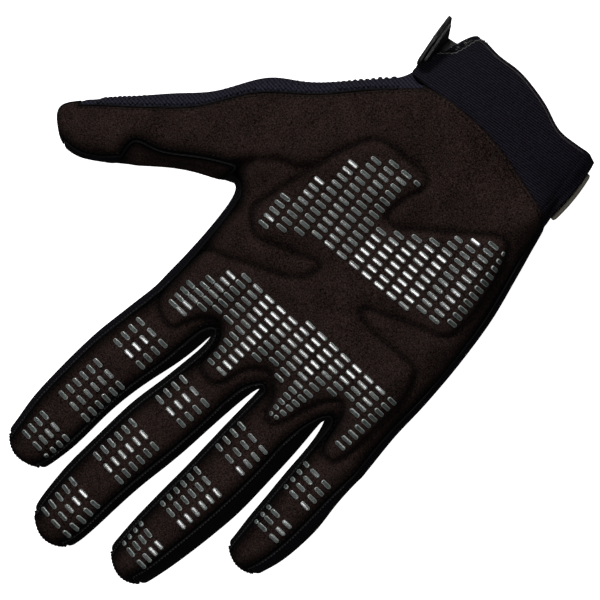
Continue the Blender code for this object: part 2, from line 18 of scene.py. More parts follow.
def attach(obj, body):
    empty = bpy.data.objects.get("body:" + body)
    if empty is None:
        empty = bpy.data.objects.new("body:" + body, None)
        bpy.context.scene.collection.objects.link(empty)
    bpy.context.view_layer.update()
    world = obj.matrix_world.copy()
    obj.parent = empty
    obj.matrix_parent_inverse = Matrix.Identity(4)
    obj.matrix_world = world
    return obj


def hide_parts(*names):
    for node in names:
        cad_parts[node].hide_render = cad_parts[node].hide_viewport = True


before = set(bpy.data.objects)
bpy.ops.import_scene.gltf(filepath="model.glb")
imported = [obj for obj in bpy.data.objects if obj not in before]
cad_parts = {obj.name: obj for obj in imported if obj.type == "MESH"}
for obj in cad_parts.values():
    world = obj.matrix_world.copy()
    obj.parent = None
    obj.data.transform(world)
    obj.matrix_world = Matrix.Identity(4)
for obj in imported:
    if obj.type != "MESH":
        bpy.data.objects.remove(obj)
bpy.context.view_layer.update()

bl_info = {
    "name": "Motocross glove",
    "version": (1, 0, 0),
    "blender": (4, 5, 0),
    "location": "3D View > Sidebar > Glove",
    "description": "Dresses the solids of a motocross glove in suede, knit, grip bars and stitches",
    "category": "Mesh",
}

MM = 0.001

# The hand's lengths, widths and depths, as the solids have them
PALM_LENGTH = 0.118
LITTLE_LENGTH = 0.061
RING_LENGTH = 0.0905
MIDDLE_LENGTH = 0.0975
INDEX_LENGTH = 0.086
THUMB_LENGTH = 0.093
CUFF_LENGTH = 0.0265
LITTLE_WIDTH = 0.022
RING_WIDTH = 0.025
MIDDLE_WIDTH = 0.024
INDEX_WIDTH = 0.0265
FINGER_GAP = 0.0014
THUMB_WIDTH = 0.030
PALM_DEPTH = 0.027
FINGER_DEPTH = 0.0175
THUMB_DEPTH = 0.0215
THUMB_ANGLE = math.radians(45)

# Cloth and leather
PALM_WALL = 0.0016
PATCH_WALL = 0.0016
BACK_WALL = 0.0014
FOURCHETTE_WALL = 0.0012
CUFF_WALL = 0.0018

# Closure strap over the back of the wrist, with its free end turned up on the thumb side
STRAP_WIDTH = 0.0195
STRAP_THICKNESS = 0.0016
STRAP_END_HEIGHT = 0.019
STRAP_CLEARANCE = 0.0006
STRAP_BEND = 0.004
STRAP_LEAN = 0.0045
HOOK_PATCH_THICKNESS = 0.0011
HOOK_PATCH_HEIGHT = 0.011
HOOK_PATCH_GAP = 0.0004

FLATNESS = 2.3          # power of the rounded cross-sections: 2 is an ellipse
CAGE_PASSES = 12        # how often the control points are corrected towards the table points

KNUCKLE_WIDTH = LITTLE_WIDTH + RING_WIDTH + MIDDLE_WIDTH + INDEX_WIDTH + 3 * FINGER_GAP
LITTLE_SIDE = -0.638 * KNUCKLE_WIDTH
WRIST_Y = -0.508 * PALM_LENGTH
STRAP_START = WRIST_Y - 0.003

# Fingers: where each starts (share of the palm's length), its sizes, and how far over its section the seams
# of the palm panel lie (share of the half width). The left seam shifts from seam_root to seam_left at half
# length.
Finger = namedtuple("Finger", "name root length width depth seam_root seam_left seam_right rows tip")
# Ring of a finger: share of its length, sideways shift, width and depth as shares of its width and depth
FingerRing = namedtuple("FingerRing", "along shift wide deep")

FINGERS = (
    Finger("little", 0.902, LITTLE_LENGTH, LITTLE_WIDTH, 0.90 * FINGER_DEPTH, -0.92, -0.60, 0.84, (
        FingerRing(0.13, 0.000, 1.000, 1.10),
        FingerRing(0.30, -0.075, 0.977, 1.03),
        FingerRing(0.47, -0.160, 1.000, 1.02),
        FingerRing(0.63, -0.214, 0.964, 0.98),
        FingerRing(0.78, -0.243, 0.877, 0.90),
        FingerRing(0.89, -0.245, 0.755, 0.84),
        FingerRing(0.96, -0.235, 0.590, 0.66)), FingerRing(1.0, -0.245, 0, 0.40)),
    Finger("ring", 0.949, RING_LENGTH, RING_WIDTH, FINGER_DEPTH, -0.64, -0.56, 0.88, (
        FingerRing(0.10, -0.014, 0.996, 1.10),
        FingerRing(0.27, -0.076, 1.016, 1.03),
        FingerRing(0.44, -0.136, 1.016, 1.00),
        FingerRing(0.61, -0.166, 0.964, 0.97),
        FingerRing(0.77, -0.172, 0.888, 0.90),
        FingerRing(0.89, -0.178, 0.780, 0.84),
        FingerRing(0.96, -0.175, 0.610, 0.66)), FingerRing(1.0, -0.200, 0, 0.40)),
    Finger("middle", 0.9915, MIDDLE_LENGTH, MIDDLE_WIDTH, FINGER_DEPTH, -0.74, -0.78, 0.86, (
        FingerRing(0.09, 0.002, 0.996, 1.10),
        FingerRing(0.25, 0.012, 1.017, 1.04),
        FingerRing(0.42, 0.027, 1.062, 1.02),
        FingerRing(0.58, 0.031, 1.004, 0.98),
        FingerRing(0.74, 0.004, 0.967, 0.92),
        FingerRing(0.87, -0.046, 0.900, 0.86),
        FingerRing(0.955, -0.066, 0.700, 0.67)), FingerRing(1.0, -0.080, 0, 0.40)),
    Finger("index", 0.983, INDEX_LENGTH, INDEX_WIDTH, FINGER_DEPTH, -0.70, -0.84, 0.85, (
        FingerRing(0.10, 0.000, 1.004, 1.10),
        FingerRing(0.27, 0.036, 0.989, 1.03),
        FingerRing(0.44, 0.083, 0.932, 1.00),
        FingerRing(0.61, 0.068, 0.887, 0.97),
        FingerRing(0.77, 0.026, 0.864, 0.90),
        FingerRing(0.89, -0.009, 0.747, 0.84),
        FingerRing(0.96, -0.009, 0.600, 0.66)), FingerRing(1.0, 0.017, 0, 0.40)),
)

# Webs between the fingers: height of the slit's foot (share of the palm's length) and its sideways shift
Web = namedtuple("Web", "along shift")
WEBS = (Web(0.897, 0.014), Web(0.990, 0.000), Web(0.988, 0.012))

# Rings of the palm, from the knuckles to the wrist: places along it, outline, heights and rim height as
# shares of the palm's length, the knuckle width and the palm's depth, and how far its side seams lie inside
# the outline
PalmRing = namedtuple("PalmRing", "name along left right low mid high rim seams")
PALM_RINGS = (
    PalmRing("knuckles", (0.925, 0.99, 0.985), -0.633, 0.366, 0.72, 0.74, 0.72, 0.33, (0.022, 0.020)),
    PalmRing("upper palm", (0.785, 0.83, 0.85), -0.602, 0.380, 0.80, 0.78, 0.80, 0.40, (0.016, 0.016)),
    PalmRing("thumb crotch", (0.650, 0.66, 0.66), -0.584, 0.424, 0.90, 0.80, 0.90, 0.46, (0.012, 0.014)),
    PalmRing("upper heel", (0.475, 0.475, 0.475), -0.551, 0.410, 0.98, 0.82, 0.99, 0.50, (0.012, 0.012)),
    PalmRing("lower heel", (0.315, 0.30, 0.28), -0.508, 0.396, 1.00, 0.88, 1.00, 0.50, (0.012, 0.012)),
    PalmRing("thumb root", (0.150, 0.12, 0.085), -0.444, 0.386, 0.95, 0.90, 0.95, 0.50, (0.012, 0.050)),
    PalmRing("wrist", (0.012, -0.042, 0.005), -0.392, 0.342, 0.84, 0.86, 0.84, 0.48, (0.012, 0.066)),
)
THUMB_RINGS_ON_PALM = (2, 3, 4, 5)      # the palm rings whose thumb side opens into the thumb

# Rings of the cuff: share of the cuff's length; little-finger side, seam, free edge and flap edge as shares
# of the knuckle width; height and rim as shares of the palm's depth
WRIST_CUFF_SEAM = -0.338
CuffRing = namedtuple("CuffRing", "along left seam edge flap height rim")
CUFF_RINGS = (
    CuffRing((0.27, 0.46, 0.29), -0.373, -0.330, 0.320, 0.326, 0.82, 0.46),
    CuffRing((0.64, 0.77, 0.62), -0.362, -0.306, 0.296, 0.317, 0.79, 0.42),
    CuffRing((1.04, 1.07, 0.97), -0.334, -0.284, 0.274, 0.286, 0.76, 0.38),
)

# Rings of the thumb: the ends of each across line as shares of the thumb's length and width, the lines of the
# crotch patch and of the outer seam as shares of the way over, and its depth
ThumbRing = namedtuple("ThumbRing", "upper lower patch seam deep")
THUMB_RINGS = (
    ThumbRing((0.331, 0.600), (-0.118, -0.697), 0.15, 0.88, 1.16),
    ThumbRing((0.418, 0.543), (0.045, -0.660), 0.14, 0.88, 1.08),
    ThumbRing((0.525, 0.493), (0.194, -0.673), 0.13, 0.83, 1.02),
    ThumbRing((0.643, 0.483), (0.376, -0.483), 0.17, 0.81, 0.97),
    ThumbRing((0.749, 0.483), (0.537, -0.413), 0.27, 0.80, 0.93),
    ThumbRing((0.840, 0.460), (0.696, -0.343), 0.32, 0.84, 0.88),
    ThumbRing((0.915, 0.407), (0.817, -0.293), 0.34, 0.88, 0.76),
    ThumbRing((0.972, 0.280), (0.915, -0.245), 0.35, 0.90, 0.56),
)
THUMB_TIP = ThumbRing((0.996, 0.100), (0.996, -0.150), 0, 0, 0.38)
THUMB_ROOT = (0.403 * KNUCKLE_WIDTH, WRIST_Y + 0.373 * PALM_LENGTH)
PATCH_BANDS = 4         # bands of the thumb that the crotch patch covers, from its first ring
PATCH_REACH = 0.008     # how far the skin round the patch's rounded seam moves with it
# The patch's tip humps over the thumb: where, how far the seam moves there and how wide the hump is
HUMP_PLACE = (0.0824, 0.0353)
HUMP_MOVE = (0.0017, -0.0015, 0)
HUMP_WIDTH = 0.0075

FINGER_COLUMNS = 2      # cells over the palm side of each finger
COLUMNS = FINGER_COLUMNS * len(FINGERS) + 1

PANELS = ("palm_panel", "back_panel", "thumb_patch", "fourchette_little_ring", "fourchette_ring_middle",
          "fourchette_middle_index", "cuff_palm", "cuff_back")
FOURCHETTES = PANELS[3:6]
WALLS = dict(zip(PANELS, (PALM_WALL, BACK_WALL, PATCH_WALL, FOURCHETTE_WALL, FOURCHETTE_WALL, FOURCHETTE_WALL,
                          CUFF_WALL, CUFF_WALL)))

# The stitched line round the foam pads of the palm, sideways and lengthways in millimetres. It runs round
# the heel pad, into the slot from the little-finger side, up round the finger lobes and back along the
# thumb slot.
PAD_OUTLINE_MM = (
    (26, 22.8), (30, 22.5), (34, 20), (35.8, 15), (34.5, 5), (32, -7), (29.5, -21), (26, -31), (21, -35),
    (10, -37.3), (3, -38), (-0.3, -34.5), (1.5, -26), (1, -18), (-4, -17.5), (-13, -26), (-23, -36),
    (-30, -43), (-36, -44.3), (-41, -39), (-46, -25), (-48, -12), (-46, -4.5), (-37, 0), (-27, 5.5),
    (-20, 9.5), (-18.8, 11.8), (-21, 13.6), (-27, 13.9), (-35, 12.8), (-43, 11.3), (-49, 12),
    (-53.5, 18.5), (-55.5, 30), (-56, 45), (-54.5, 55), (-51, 57), (-47.5, 56), (-44.8, 50), (-43, 43),
    (-39, 40), (-35.5, 44), (-32.5, 53), (-31, 60), (-28, 63.8), (-24, 63.2), (-21, 57), (-15, 52.5),
    (-11, 54), (-7.5, 59), (-5.8, 67), (-3, 70.5), (3, 70.5), (6, 68), (7, 61), (9, 57), (12.5, 54.5),
    (17, 57.5), (19.5, 63), (21.5, 68), (28, 68.3), (34, 64), (36.4, 55), (37, 45), (35.5, 39.6),
    (29, 36), (20, 30.8), (10, 25.2), (4.5, 20), (2.8, 14.5), (4, 12.3), (8, 13.5), (12, 16), (20, 20),
)
# Folds of the suede: the line they follow and their depth and half width, all in millimetres. A fold with a
# negative depth is a bulge.
Fold = namedtuple("Fold", "line depth width")
FOLDS_MM = (
    Fold(((51, 11), (48, 5.5), (44, 0.5), (40, -2.5), (36, -4.5), (33, -8)), 1.5, 2.2),
    Fold(((47.5, 19), (48.5, 14), (48, 8)), 2.6, 3.2),
    Fold(((37, 16), (41, 11), (43.5, 6)), -1.5, 4.0),
    Fold(((34, 24), (39, 21.5), (44, 20)), 0.9, 2.6),
    Fold(((-60, 58), (-52, 58.5), (-45, 57)), 0.4, 2.0),
    Fold(((-41, 66), (-31, 67.5), (-20, 65.5)), 0.35, 2.2),
    Fold(((-13, 73), (-2, 74), (9, 72.5)), 0.35, 2.2),
    Fold(((14, 70.5), (24, 71.5), (37, 69)), 0.35, 2.2),
)
SHADED_FOLD_MM = 1          # folds deeper than this get painted shade as dark as the quilting's
FOLD_SHADE = 1.9 * MM       # distance that counts as the half width of such a fold's painted shade

# Soft unevenness of the suede, and that of the other cloths
Swell = namedtuple("Swell", "height size seed")
SUEDE_SWELLS = (Swell(0.30 * MM, 14 * MM, 1), Swell(0.14 * MM, 6 * MM, 2))
CLOTH_SWELL = Swell(0.12 * MM, 12 * MM, 3)

# Painted shade darkens the suede where it turns down out of the light at its seams, except at the thumb's
# # outer seam, where the place sideways less the place lengthways is past the first value, and at the cuff's
# # seam, which lies below the second
THUMB_SEAM_PAST = 50 * MM
CUFF_SEAM_BELOW = -52 * MM
CUFF_SEAM_FADE = 10 * MM        # the seams dip less and less from this height above the cuff's seam
LEAST_DIP = 0.3                 # share of the dip that stays at the cuff's seam
RIM_SHADE = 2.5                 # painted shade at a seam darkens the suede this many times more narrowly than that of the quilting
FAR = 10 * MM                   # distance written where no painted shade darkens the cloth
LEAST_WALL = 0.6                # share of a panel's wall that is left under the deepest groove
FACES_DOWN = -0.5               # normals below this height belong to what rests on the floor
CUFF_SETTLE = 0.3 * MM          # how far the cuff's underside may settle towards the strap
KNIT_FADES_FROM = 42 * MM       # painted shade: the back's knit is navy on the lit thumb's outer side and shaded to black elsewhere
KNIT_FADE = 15 * MM

# Printed grip bars. A field is a lattice: place is the centre of its first bar, across the pitch of its
# columns, slope the rise of its rows, step the way from a row to the next, fan how much more each column
# steps sideways than the one before it, droop how much its rows fall to both sides, and narrow how much
# each row shrinks. Each column has its place in the lattice, its first row and how many bars it has. All
# lengths in millimetres.
BarField = namedtuple("BarField", "name place across slope step fan droop narrow columns")
THREE_COLUMNS = (-1, 0, 1)
FLANK_COLUMNS = (-1, 0, 0.87)
STEEP_COLUMNS = (-1, 0, 0.7)
HEEL_COLUMNS = ((-8, 2, 11), (-7, 1, 12), (-6, 1, 11), (-5, 0, 11), (-4, 0, 9), (-3, 0, 8), (-2, 0, 7),
                (-1, 0, 6), (-1, 12, 1), (0, 0, 13), (1, 0, 13), (2, 0, 12), (3, -1, 11), (4, -2, 8),
                (5, -3, 5))
KNUCKLE_COLUMNS = ((0, 0, 9), (1, 0, 5), (2, 0, 5), (3, 0, 5), (4, 0, 6), (5, 0, 6), (6, 0, 8), (7, 0, 7),
                   (8, 1, 7), (9, 1, 11), (10, 1, 11), (11, 1, 6), (12, 1, 6), (12.84, 2, 6), (13.62, 4, 6),
                   (14.36, 6, 4))


def even_rows(columns, count):
    """Columns that all start at the first row and have the same count of bars."""
    return [(column, 0, count) for column in columns]


BAR_FIELDS_MM = (
    BarField("heel", (1.0, 4.1), 5.75, 0.17, (0.56, -3.07), 0, 0, 0, HEEL_COLUMNS),
    BarField("knuckles", (-51, 25.2), 5.74, 0.108, (0, 3.1), -0.028, 0, 0, KNUCKLE_COLUMNS),
    BarField("knuckles", (-26.6, 46.7), 5.2, 0.12, (-0.03, 2.87), 0, 0, 0.075, ((-0.5, 0, 6), (0.5, 0, 6))),
    BarField("fingers", (-52.6, 63.7), 5.75, 0.07, (-0.3, 3.63), 0, 0, 0, even_rows(FLANK_COLUMNS, 4)),
    BarField("fingers", (-54.2, 84.2), 5.8, 0.10, (-0.38, 3.45), 0, 0, 0, even_rows(STEEP_COLUMNS, 3)),
    BarField("fingers", (-27.9, 72.4), 5.8, 0.02, (-0.1, 3.78), 0, 0, 0, even_rows(THREE_COLUMNS, 4)),
    BarField("fingers", (-28.7, 95.3), 5.8, 0.02, (-0.04, 3.5), 0, 0, 0, even_rows(FLANK_COLUMNS, 6)),
    BarField("fingers", (-29.2, 124), 5.8, -0.03, (-0.38, 3.12), 0, 0.3, 0, even_rows(FLANK_COLUMNS, 4)),
    BarField("fingers", (-1.1, 77.2), 5.75, 0.03, (0.03, 3.8), 0, 0, 0, even_rows(THREE_COLUMNS, 4)),
    BarField("fingers", (-1, 101.5), 5.8, 0.035, (-0.14, 3.56), 0, 0, 0, even_rows(THREE_COLUMNS, 6)),
    BarField("fingers", (-2.8, 132.3), 5.75, 0.06, (-0.43, 3.72), 0, 0.3, 0, even_rows(THREE_COLUMNS, 5)),
    BarField("fingers", (25.2, 74.9), 5.7, 0.08, (-0.16, 3.77), 0, 0, 0, even_rows(THREE_COLUMNS, 4)),
    BarField("fingers", (24, 96.6), 5.7, 0.06, (-0.12, 3.46), 0, 0, 0, even_rows(THREE_COLUMNS, 6)),
    BarField("fingers", (22.3, 124.1), 5.8, 0.04, (-0.3, 3.2), 0, 0, 0, even_rows(THREE_COLUMNS, 4)),
)
# Section of a raised bar: share of its half width, height as a share of its full height, and share of painted
# highlight
BAR_SECTION = ((1.0, -0.8, 0.2), (1.0, 0.35, 1.0), (0.88, 0.80, 1.0), (0.70, 0.98, 0.15), (0.50, 1.0, 0.0))
# Section of a sewn stitch: half sunk into the cloth
STITCH_SECTION = ((0.7, -0.5, 0), (1.0, 0.1, 0), (0.75, 0.75, 0))

# Length, width and height of a stitch, a loop or a rib
Thread = namedtuple("Thread", "length width height")
FLAP_STITCH = Thread(1.2 * MM, 0.26 * MM, 0.2 * MM)
FLAP_STITCH_PITCH = 0.9 * MM
FLAP_STITCH_INSET = 0.9 * MM
FLAP_LOOP = Thread(0.8 * MM, 0.22 * MM, 0.3 * MM)
FLAP_LOOP_COUNT = 170
FLAP_LOOP_SEED = 11
SEAM_DOT = Thread(0.75 * MM, 0.42 * MM, 0.2 * MM)
SEAM_DOT_PITCH = 1.3 * MM
SEAM_DOT_LIFT = 0.25 * MM
EDGE_STITCH_INSET = 1.7 * MM
EDGE_STITCH_HEIGHT = 0.22 * MM
QUILTING_STITCH_HEIGHT = 0.25 * MM

# Welts along the rims of panels: tube radius, and how far its middle lies below the cloth
Welt = namedtuple("Welt", "node radius sink")
WELTS = (Welt("palm_panel", 0.42 * MM, 0.15 * MM), Welt("thumb_patch", 0.3 * MM, 0.2 * MM))

# Raised ribs of the knit on the thumb's outer side: their section, as for the bars, and their rows
RIB_SECTION = ((1.0, -0.8, 0), (0.95, 0.3, 0), (0.65, 0.85, 0), (0.3, 1.0, 0))
RIB = Thread(4.2 * MM, 1.7 * MM, 0.45 * MM)
RIB_PITCH = 2.1 * MM
RIB_ROWS = (2.8 * MM, 6.8 * MM)     # how far the middles of the ribs' rows lie from the thumb's outer seam
RIB_END = 36 * MM                   # the ribs end below this place lengthways, short of the thumb's tip

# How far the cloths stand above the solids, how deep the knits' loops are, and the fine knit's pitch and
# shade
PATCH_LIFT = 0.35 * MM
BACK_LIFT = 0.25 * MM
SIDE_LIFT = 0.15 * MM
KNIT_RELIEF = 0.30 * MM
FINE_KNIT_RELIEF = 0.2 * MM
FINE_KNIT_PITCH = 0.9 * MM
FINE_KNIT_SHADE = 0.35

# The hem line follows the cuff's edge beyond this share of its length, this far inside it and above it
HEM_FROM = 0.75
HEM_INSET = 1.2 * MM
HEM_LIFT = 0.25 * MM
HEM_RADIUS = 0.20 * MM

# The stitched free edge of the cuff starts beyond this place sideways and ends at this place lengthways,
# and the loops inside the flap show between two corners
FREE_EDGE_MM = (25, -70)
LOOPS_FROM_MM = (26, -84)
LOOPS_TO_MM = (35, -64)

# How far the cuff's mouth swings out of the solids' even curve: place sideways, reach and half width
Swing = namedtuple("Swing", "x out width")
MOUTH_SWINGS_MM = (Swing(31.5, 1.6, 3), Swing(8, 1.1, 10), Swing(-17, -2.7, 8.5), Swing(-31, 0.9, 3.5))

# The cuff's palm side starts to wrap round the wrist at this place sideways and is fully wrapped a width
# further. It reaches and drops by so much at the hand, and by nothing a length away from it.
WRAP_FROM = 16 * MM
WRAP_WIDTH = 13 * MM
WRAP_LENGTH = 15 * MM
WRAP_REACH = 7.4 * MM
WRAP_DROP = 5 * MM

# The photograph's view: it looks straight down, turned so that the fingers point to its lower left
VIEW_CENTRE = (-1.32 * MM, 26.30 * MM, 15 * MM)
VIEW_WIDTH = 219 * MM
VIEW_TURN = math.radians(229)
CAMERA_HEIGHT = 2.0
CAMERA_SIGHT = 50.0
SENSOR_MM = 36

# Lights: name, direction from the glove, distance, size, power in watts, whether it lights matt cloth and
# whether it shows as shine
StageLight = namedtuple("StageLight", "name direction distance size power matt shine")
STAGE_LIGHTS = (
    StageLight("overhead_softbox", (0.06, 0.13, 1.0), 3.0, 0.6, 35, True, True),
    StageLight("thumb_side_softbox", (0.85, -0.5, 0.8), 2.2, 0.6, 39, True, True),
    StageLight("finger_side_fill", (-0.3, 0.6, 1.0), 2.4, 0.35, 4, True, False),
    StageLight("crest_highlight", (0.30, 0.13, 1.0), 3.0, 0.4, 14, False, True),
)
AIR_LIGHT = 0.04
FLOOR_REACH = 12.0
FLOOR_HEIGHT = -0.3 * MM
ABOVE_FLOOR = 0.05 * MM         # the cloth stays at least this far above the floor's level


def linear(colour):
    """A colour given as an sRGB hex value, as linear red, green, blue and alpha."""
    channels = np.array([int(colour[start:start + 2], 16) for start in (1, 3, 5)]) / 255
    curved = ((channels + 0.055) / 1.055) ** 2.4
    return (*np.where(channels <= 0.04045, channels / 12.92, curved).tolist(), 1.0)


def colour_property(name, description, colour):
    """A colour that can be set in the sidebar, with its default given as an sRGB hex value."""
    return FloatVectorProperty(name=name, description=description, subtype="COLOR", size=4, min=0, max=1,
                               default=linear(colour))


def length_property(name, description, length):
    """A length that can be set in the sidebar."""
    return FloatProperty(name=name, description=description, default=length, min=0, subtype="DISTANCE",
                         unit="LENGTH", precision=5)


class GloveSizes(bpy.types.PropertyGroup):
    """Sizes of the fine work that the solids leave out."""

    bar_length: length_property("Grip bar length", "Length of a grip bar on the palm", 4.5 * MM)
    finger_bar_length: length_property("Finger bar length", "Length of a grip bar on a finger", 4.25 * MM)
    bar_width: length_property("Grip bar width", "Width of a printed grip bar", 1.62 * MM)
    bar_height: length_property("Grip bar height", "How far a grip bar stands above the suede", 0.5 * MM)
    bar_margin: length_property("Grip bar margin", "Bare suede between a bar and the quilting", 1.6 * MM)
    rim_margin: length_property("Grip bar rim margin", "Bare suede between a bar and the seams", 0.2 * MM)
    groove_depth: length_property("Quilting depth", "Depth of the stitched groove round the pads", 2.3 * MM)
    groove_width: length_property("Quilting width", "How far from the line the suede rises again", 2.3 * MM)
    pad_height: length_property("Pad height", "How far the foam lifts the suede inside the line", 0.6 * MM)
    seam_depth: length_property("Seam depth", "How far the panels dip where they are sewn together", 0.5 * MM)
    seam_width: length_property("Seam width", "How far from the seam the panels start to dip", 1.1 * MM)
    stitch_length: length_property("Stitch length", "Length of one stitch", 1.2 * MM)
    stitch_pitch: length_property("Stitch pitch", "Distance from a stitch to the next", 2.0 * MM)
    stitch_width: length_property("Thread width", "Width of the sewing thread", 0.62 * MM)
    rib_pitch: length_property("Knit rib pitch", "Distance between the ribs of the back's knit", 1.2 * MM)
    twill_pitch: length_property("Twill pitch", "Distance between the cuff's twill lines", 0.87 * MM)
    suede_grain: length_property("Suede grain", "Size of the clumps of the suede's nap", 0.5 * MM)
    skin_level: IntProperty(name="Skin level", description="Subdivision level of the palm side's surface",
                            default=4, min=2, max=5)


class GloveColours(bpy.types.PropertyGroup):
    """Colours of the glove's cloths and prints."""

    suede: colour_property("Suede", "Palm and thumb patch", "#352926")
    # The suede's dark shade is also the base of the painted shade in the grooves, deep folds and seams
    suede_dark: colour_property("Suede shade", "Between the clumps of the nap and in the grooves", "#080504")
    knit: colour_property("Knit", "Thumb's outer side", "#2C2B37")
    knit_dark: colour_property("Knit shade", "Between the knit's ribs", "#0C0C13")
    # On the back, the finger sides' colour is painted shade away from the lit thumb's outer side
    fourchette: colour_property("Finger sides", "Knit between the fingers and on the back", "#0A090A")
    twill: colour_property("Cuff", "Stretch twill of the cuff", "#211F27")
    twill_dark: colour_property("Cuff shade", "Between the twill lines", "#050509")
    grip: colour_property("Grip print", "Silicone grip bars", "#4A514F")
    # Painted highlight on the shoulders of the silicone bars
    grip_highlight: colour_property("Grip print edge", "Thick edge of the silicone bars", "#8C9491")
    thread: colour_property("Thread", "Stitches in the suede", "#040303")
    light_thread: colour_property("Light thread", "Stitches of the flap", "#63615C")
    welt: colour_property("Welt", "Seams and turned edges", "#0E0D0E")
    hem: colour_property("Hem", "Edge line of the cuff", "#332C28")
    # Painted highlight: pale dots along the finger seams stand for the suede's raised edge catching the light
    seam_glint_dots: colour_property("Seam dots", "Overlock thread that shows in the seams", "#2E2E31")
    strap: colour_property("Strap", "Closure strap", "#0E0E10")
    band: colour_property("Strap band", "Strap end at the little-finger side", "#5F5A50")
    hook: colour_property("Hook tape", "Hooks and loops", "#09090A")
    fleck: colour_property("Hook flecks", "Loops that catch the light", "#3C3C3E")
    floor: colour_property("Floor", "Studio floor", "#F7F7F7")


# Materials

WAVE_TURN = math.pi / 10        # a wave texture of scale 1 repeats every WAVE_TURN of its coordinate


def add_node(tree, kind, inputs=None, **settings):
    """Adds a node: settings are its own, and inputs are its sockets' values or the sockets that feed them."""
    node = tree.nodes.new(kind)
    for name, value in settings.items():
        setattr(node, name, value)
    for key, value in (inputs or {}).items():
        if isinstance(value, bpy.types.NodeSocket):
            tree.links.new(value, node.inputs[key])
        else:
            node.inputs[key].default_value = value
    return node


def start_material(name, **sockets):
    """A material with its shader, and the object coordinates that its patterns read."""
    material = bpy.data.materials.new(name)
    material.use_nodes = True
    tree = material.node_tree
    shader = tree.nodes["Principled BSDF"]
    for socket, value in sockets.items():
        shader.inputs[socket.replace("_", " ")].default_value = value
    coordinates = add_node(tree, "ShaderNodeTexCoord").outputs["Object"]
    return material, tree, shader, coordinates


def finish_material(tree, shader, colour, height, relief):
    """Joins a colour and a bump of the given relief in metres to the shader."""
    bump = add_node(tree, "ShaderNodeBump", {"Height": height, "Strength": 1.0, "Distance": relief})
    tree.links.new(colour, shader.inputs["Base Color"])
    tree.links.new(bump.outputs["Normal"], shader.inputs["Normal"])


def noise(tree, place, size, detail, roughness=0.5):
    """Smooth random values whose patches have about the given size."""
    return add_node(tree, "ShaderNodeTexNoise", {"Vector": place, "Scale": 1 / size, "Detail": detail,
                                                 "Roughness": roughness}).outputs["Fac"]


def wave(tree, place, pitch, direction, distortion=0.0, detail_scale=1.0):
    """Soft waves at a pitch along X or Y."""
    return add_node(tree, "ShaderNodeTexWave", {"Vector": place, "Scale": WAVE_TURN / pitch,
                                                "Distortion": distortion, "Detail": 1.0,
                                                "Detail Scale": detail_scale},
                    bands_direction=direction).outputs["Fac"]


def turned_place(tree, place, degrees):
    """The coordinates turned about the upright axis."""
    turn = (0, 0, math.radians(degrees))
    return add_node(tree, "ShaderNodeMapping", {"Vector": place, "Rotation": turn}).outputs[0]


def multiply_add(tree, value, factor, added):
    """A value times a factor, plus another value."""
    return add_node(tree, "ShaderNodeMath", {0: value, 1: factor, 2: added},
                    operation="MULTIPLY_ADD").outputs[0]


def spread(tree, value, start, end, lowest=0.0, interpolation="LINEAR"):
    """A value between start and end, as one between the lowest value and 1."""
    return add_node(tree, "ShaderNodeMapRange", {"Value": value, "From Min": start, "From Max": end,
                                                 "To Min": lowest},
                    interpolation_type=interpolation).outputs[0]


def mix(tree, share, first, second):
    """Two colours mixed: the first one at a share of 0, the second one at 1."""
    return add_node(tree, "ShaderNodeMix", {0: share, 6: first, 7: second}, data_type="RGBA").outputs[2]


def marked(tree, name):
    """The value that the mesh carries under a name."""
    return add_node(tree, "ShaderNodeAttribute", attribute_name=name).outputs["Fac"]


def dimmed(colour, share):
    """A colour at a share of its brightness."""
    return tuple(share * channel for channel in colour[:3]) + (1.0,)


def suede_material(sizes, colours):
    """Brushed microfibre suede: matt and finely clumped, with painted shade in the stitched grooves and deep
    folds, and where it turns down at its seams between the fingers."""
    material, tree, shader, place = start_material(
        "brushed_microfibre_suede", Roughness=0.95, Specular_IOR_Level=0.01, Sheen_Weight=0.006,
        Sheen_Roughness=0.6)
    grain = noise(tree, place, sizes.suede_grain, 3.0, roughness=0.65)
    nap = multiply_add(tree, noise(tree, place, 11 * MM, 2.0), 0.18, grain)
    cloth = mix(tree, spread(tree, nap, 0.48, 0.78), colours.suede_dark, colours.suede)
    # Painted shade in the quilting grooves and deep folds, with an edge made ragged by the grain
    ragged = multiply_add(tree, grain, 1.6, marked(tree, "groove_shade_gap_mm"))
    groove_shade_mask = spread(tree, ragged, 0.9, 3.0, lowest=0.38, interpolation="SMOOTHSTEP")
    # Painted shade: the near-black colour that grooves, deep folds and seams are darkened to
    deep = dimmed(colours.suede_dark, 0.2)
    # Painted shade along the seams where the suede turns down out of the light
    facing = spread(tree, marked(tree, "seam_shade_gap_mm"), 0.0, 6.5, lowest=0.05, interpolation="SMOOTHSTEP")
    shown = mix(tree, facing, deep, mix(tree, groove_shade_mask, deep, cloth))
    finish_material(tree, shader, shown, multiply_add(tree, groove_shade_mask, 1.5, grain), 0.22 * MM)
    return material


def knit_material(name, rib_pitch, shaded, light, dark, relief):
    """Ribbed knit: rows of small loops across the hand, so its lit face is striped and its edge is scalloped.
    Its loops take the lit colour on the thumb's outer side and a painted shade colour elsewhere."""
    material, tree, shader, place = start_material(
        name, Roughness=0.85, Specular_IOR_Level=0.03, Sheen_Weight=0.01, Sheen_Roughness=0.5)
    ribs = wave(tree, place, rib_pitch, "Y", distortion=0.8, detail_scale=2.0)
    loops = wave(tree, place, 0.85 * rib_pitch, "X", distortion=1.5)
    weave = multiply_add(tree, loops, 0.45, ribs)
    rough = multiply_add(tree, noise(tree, place, 0.5 * MM, 2.0), 0.9, weave)
    # Painted shade: the loops take the shaded colour away from the lit thumb's outer side
    loop = mix(tree, marked(tree, "thumb_side"), shaded, light)
    finish_material(tree, shader, mix(tree, spread(tree, rough, 0.5, 1.9), dark, loop), rough, relief)
    return material


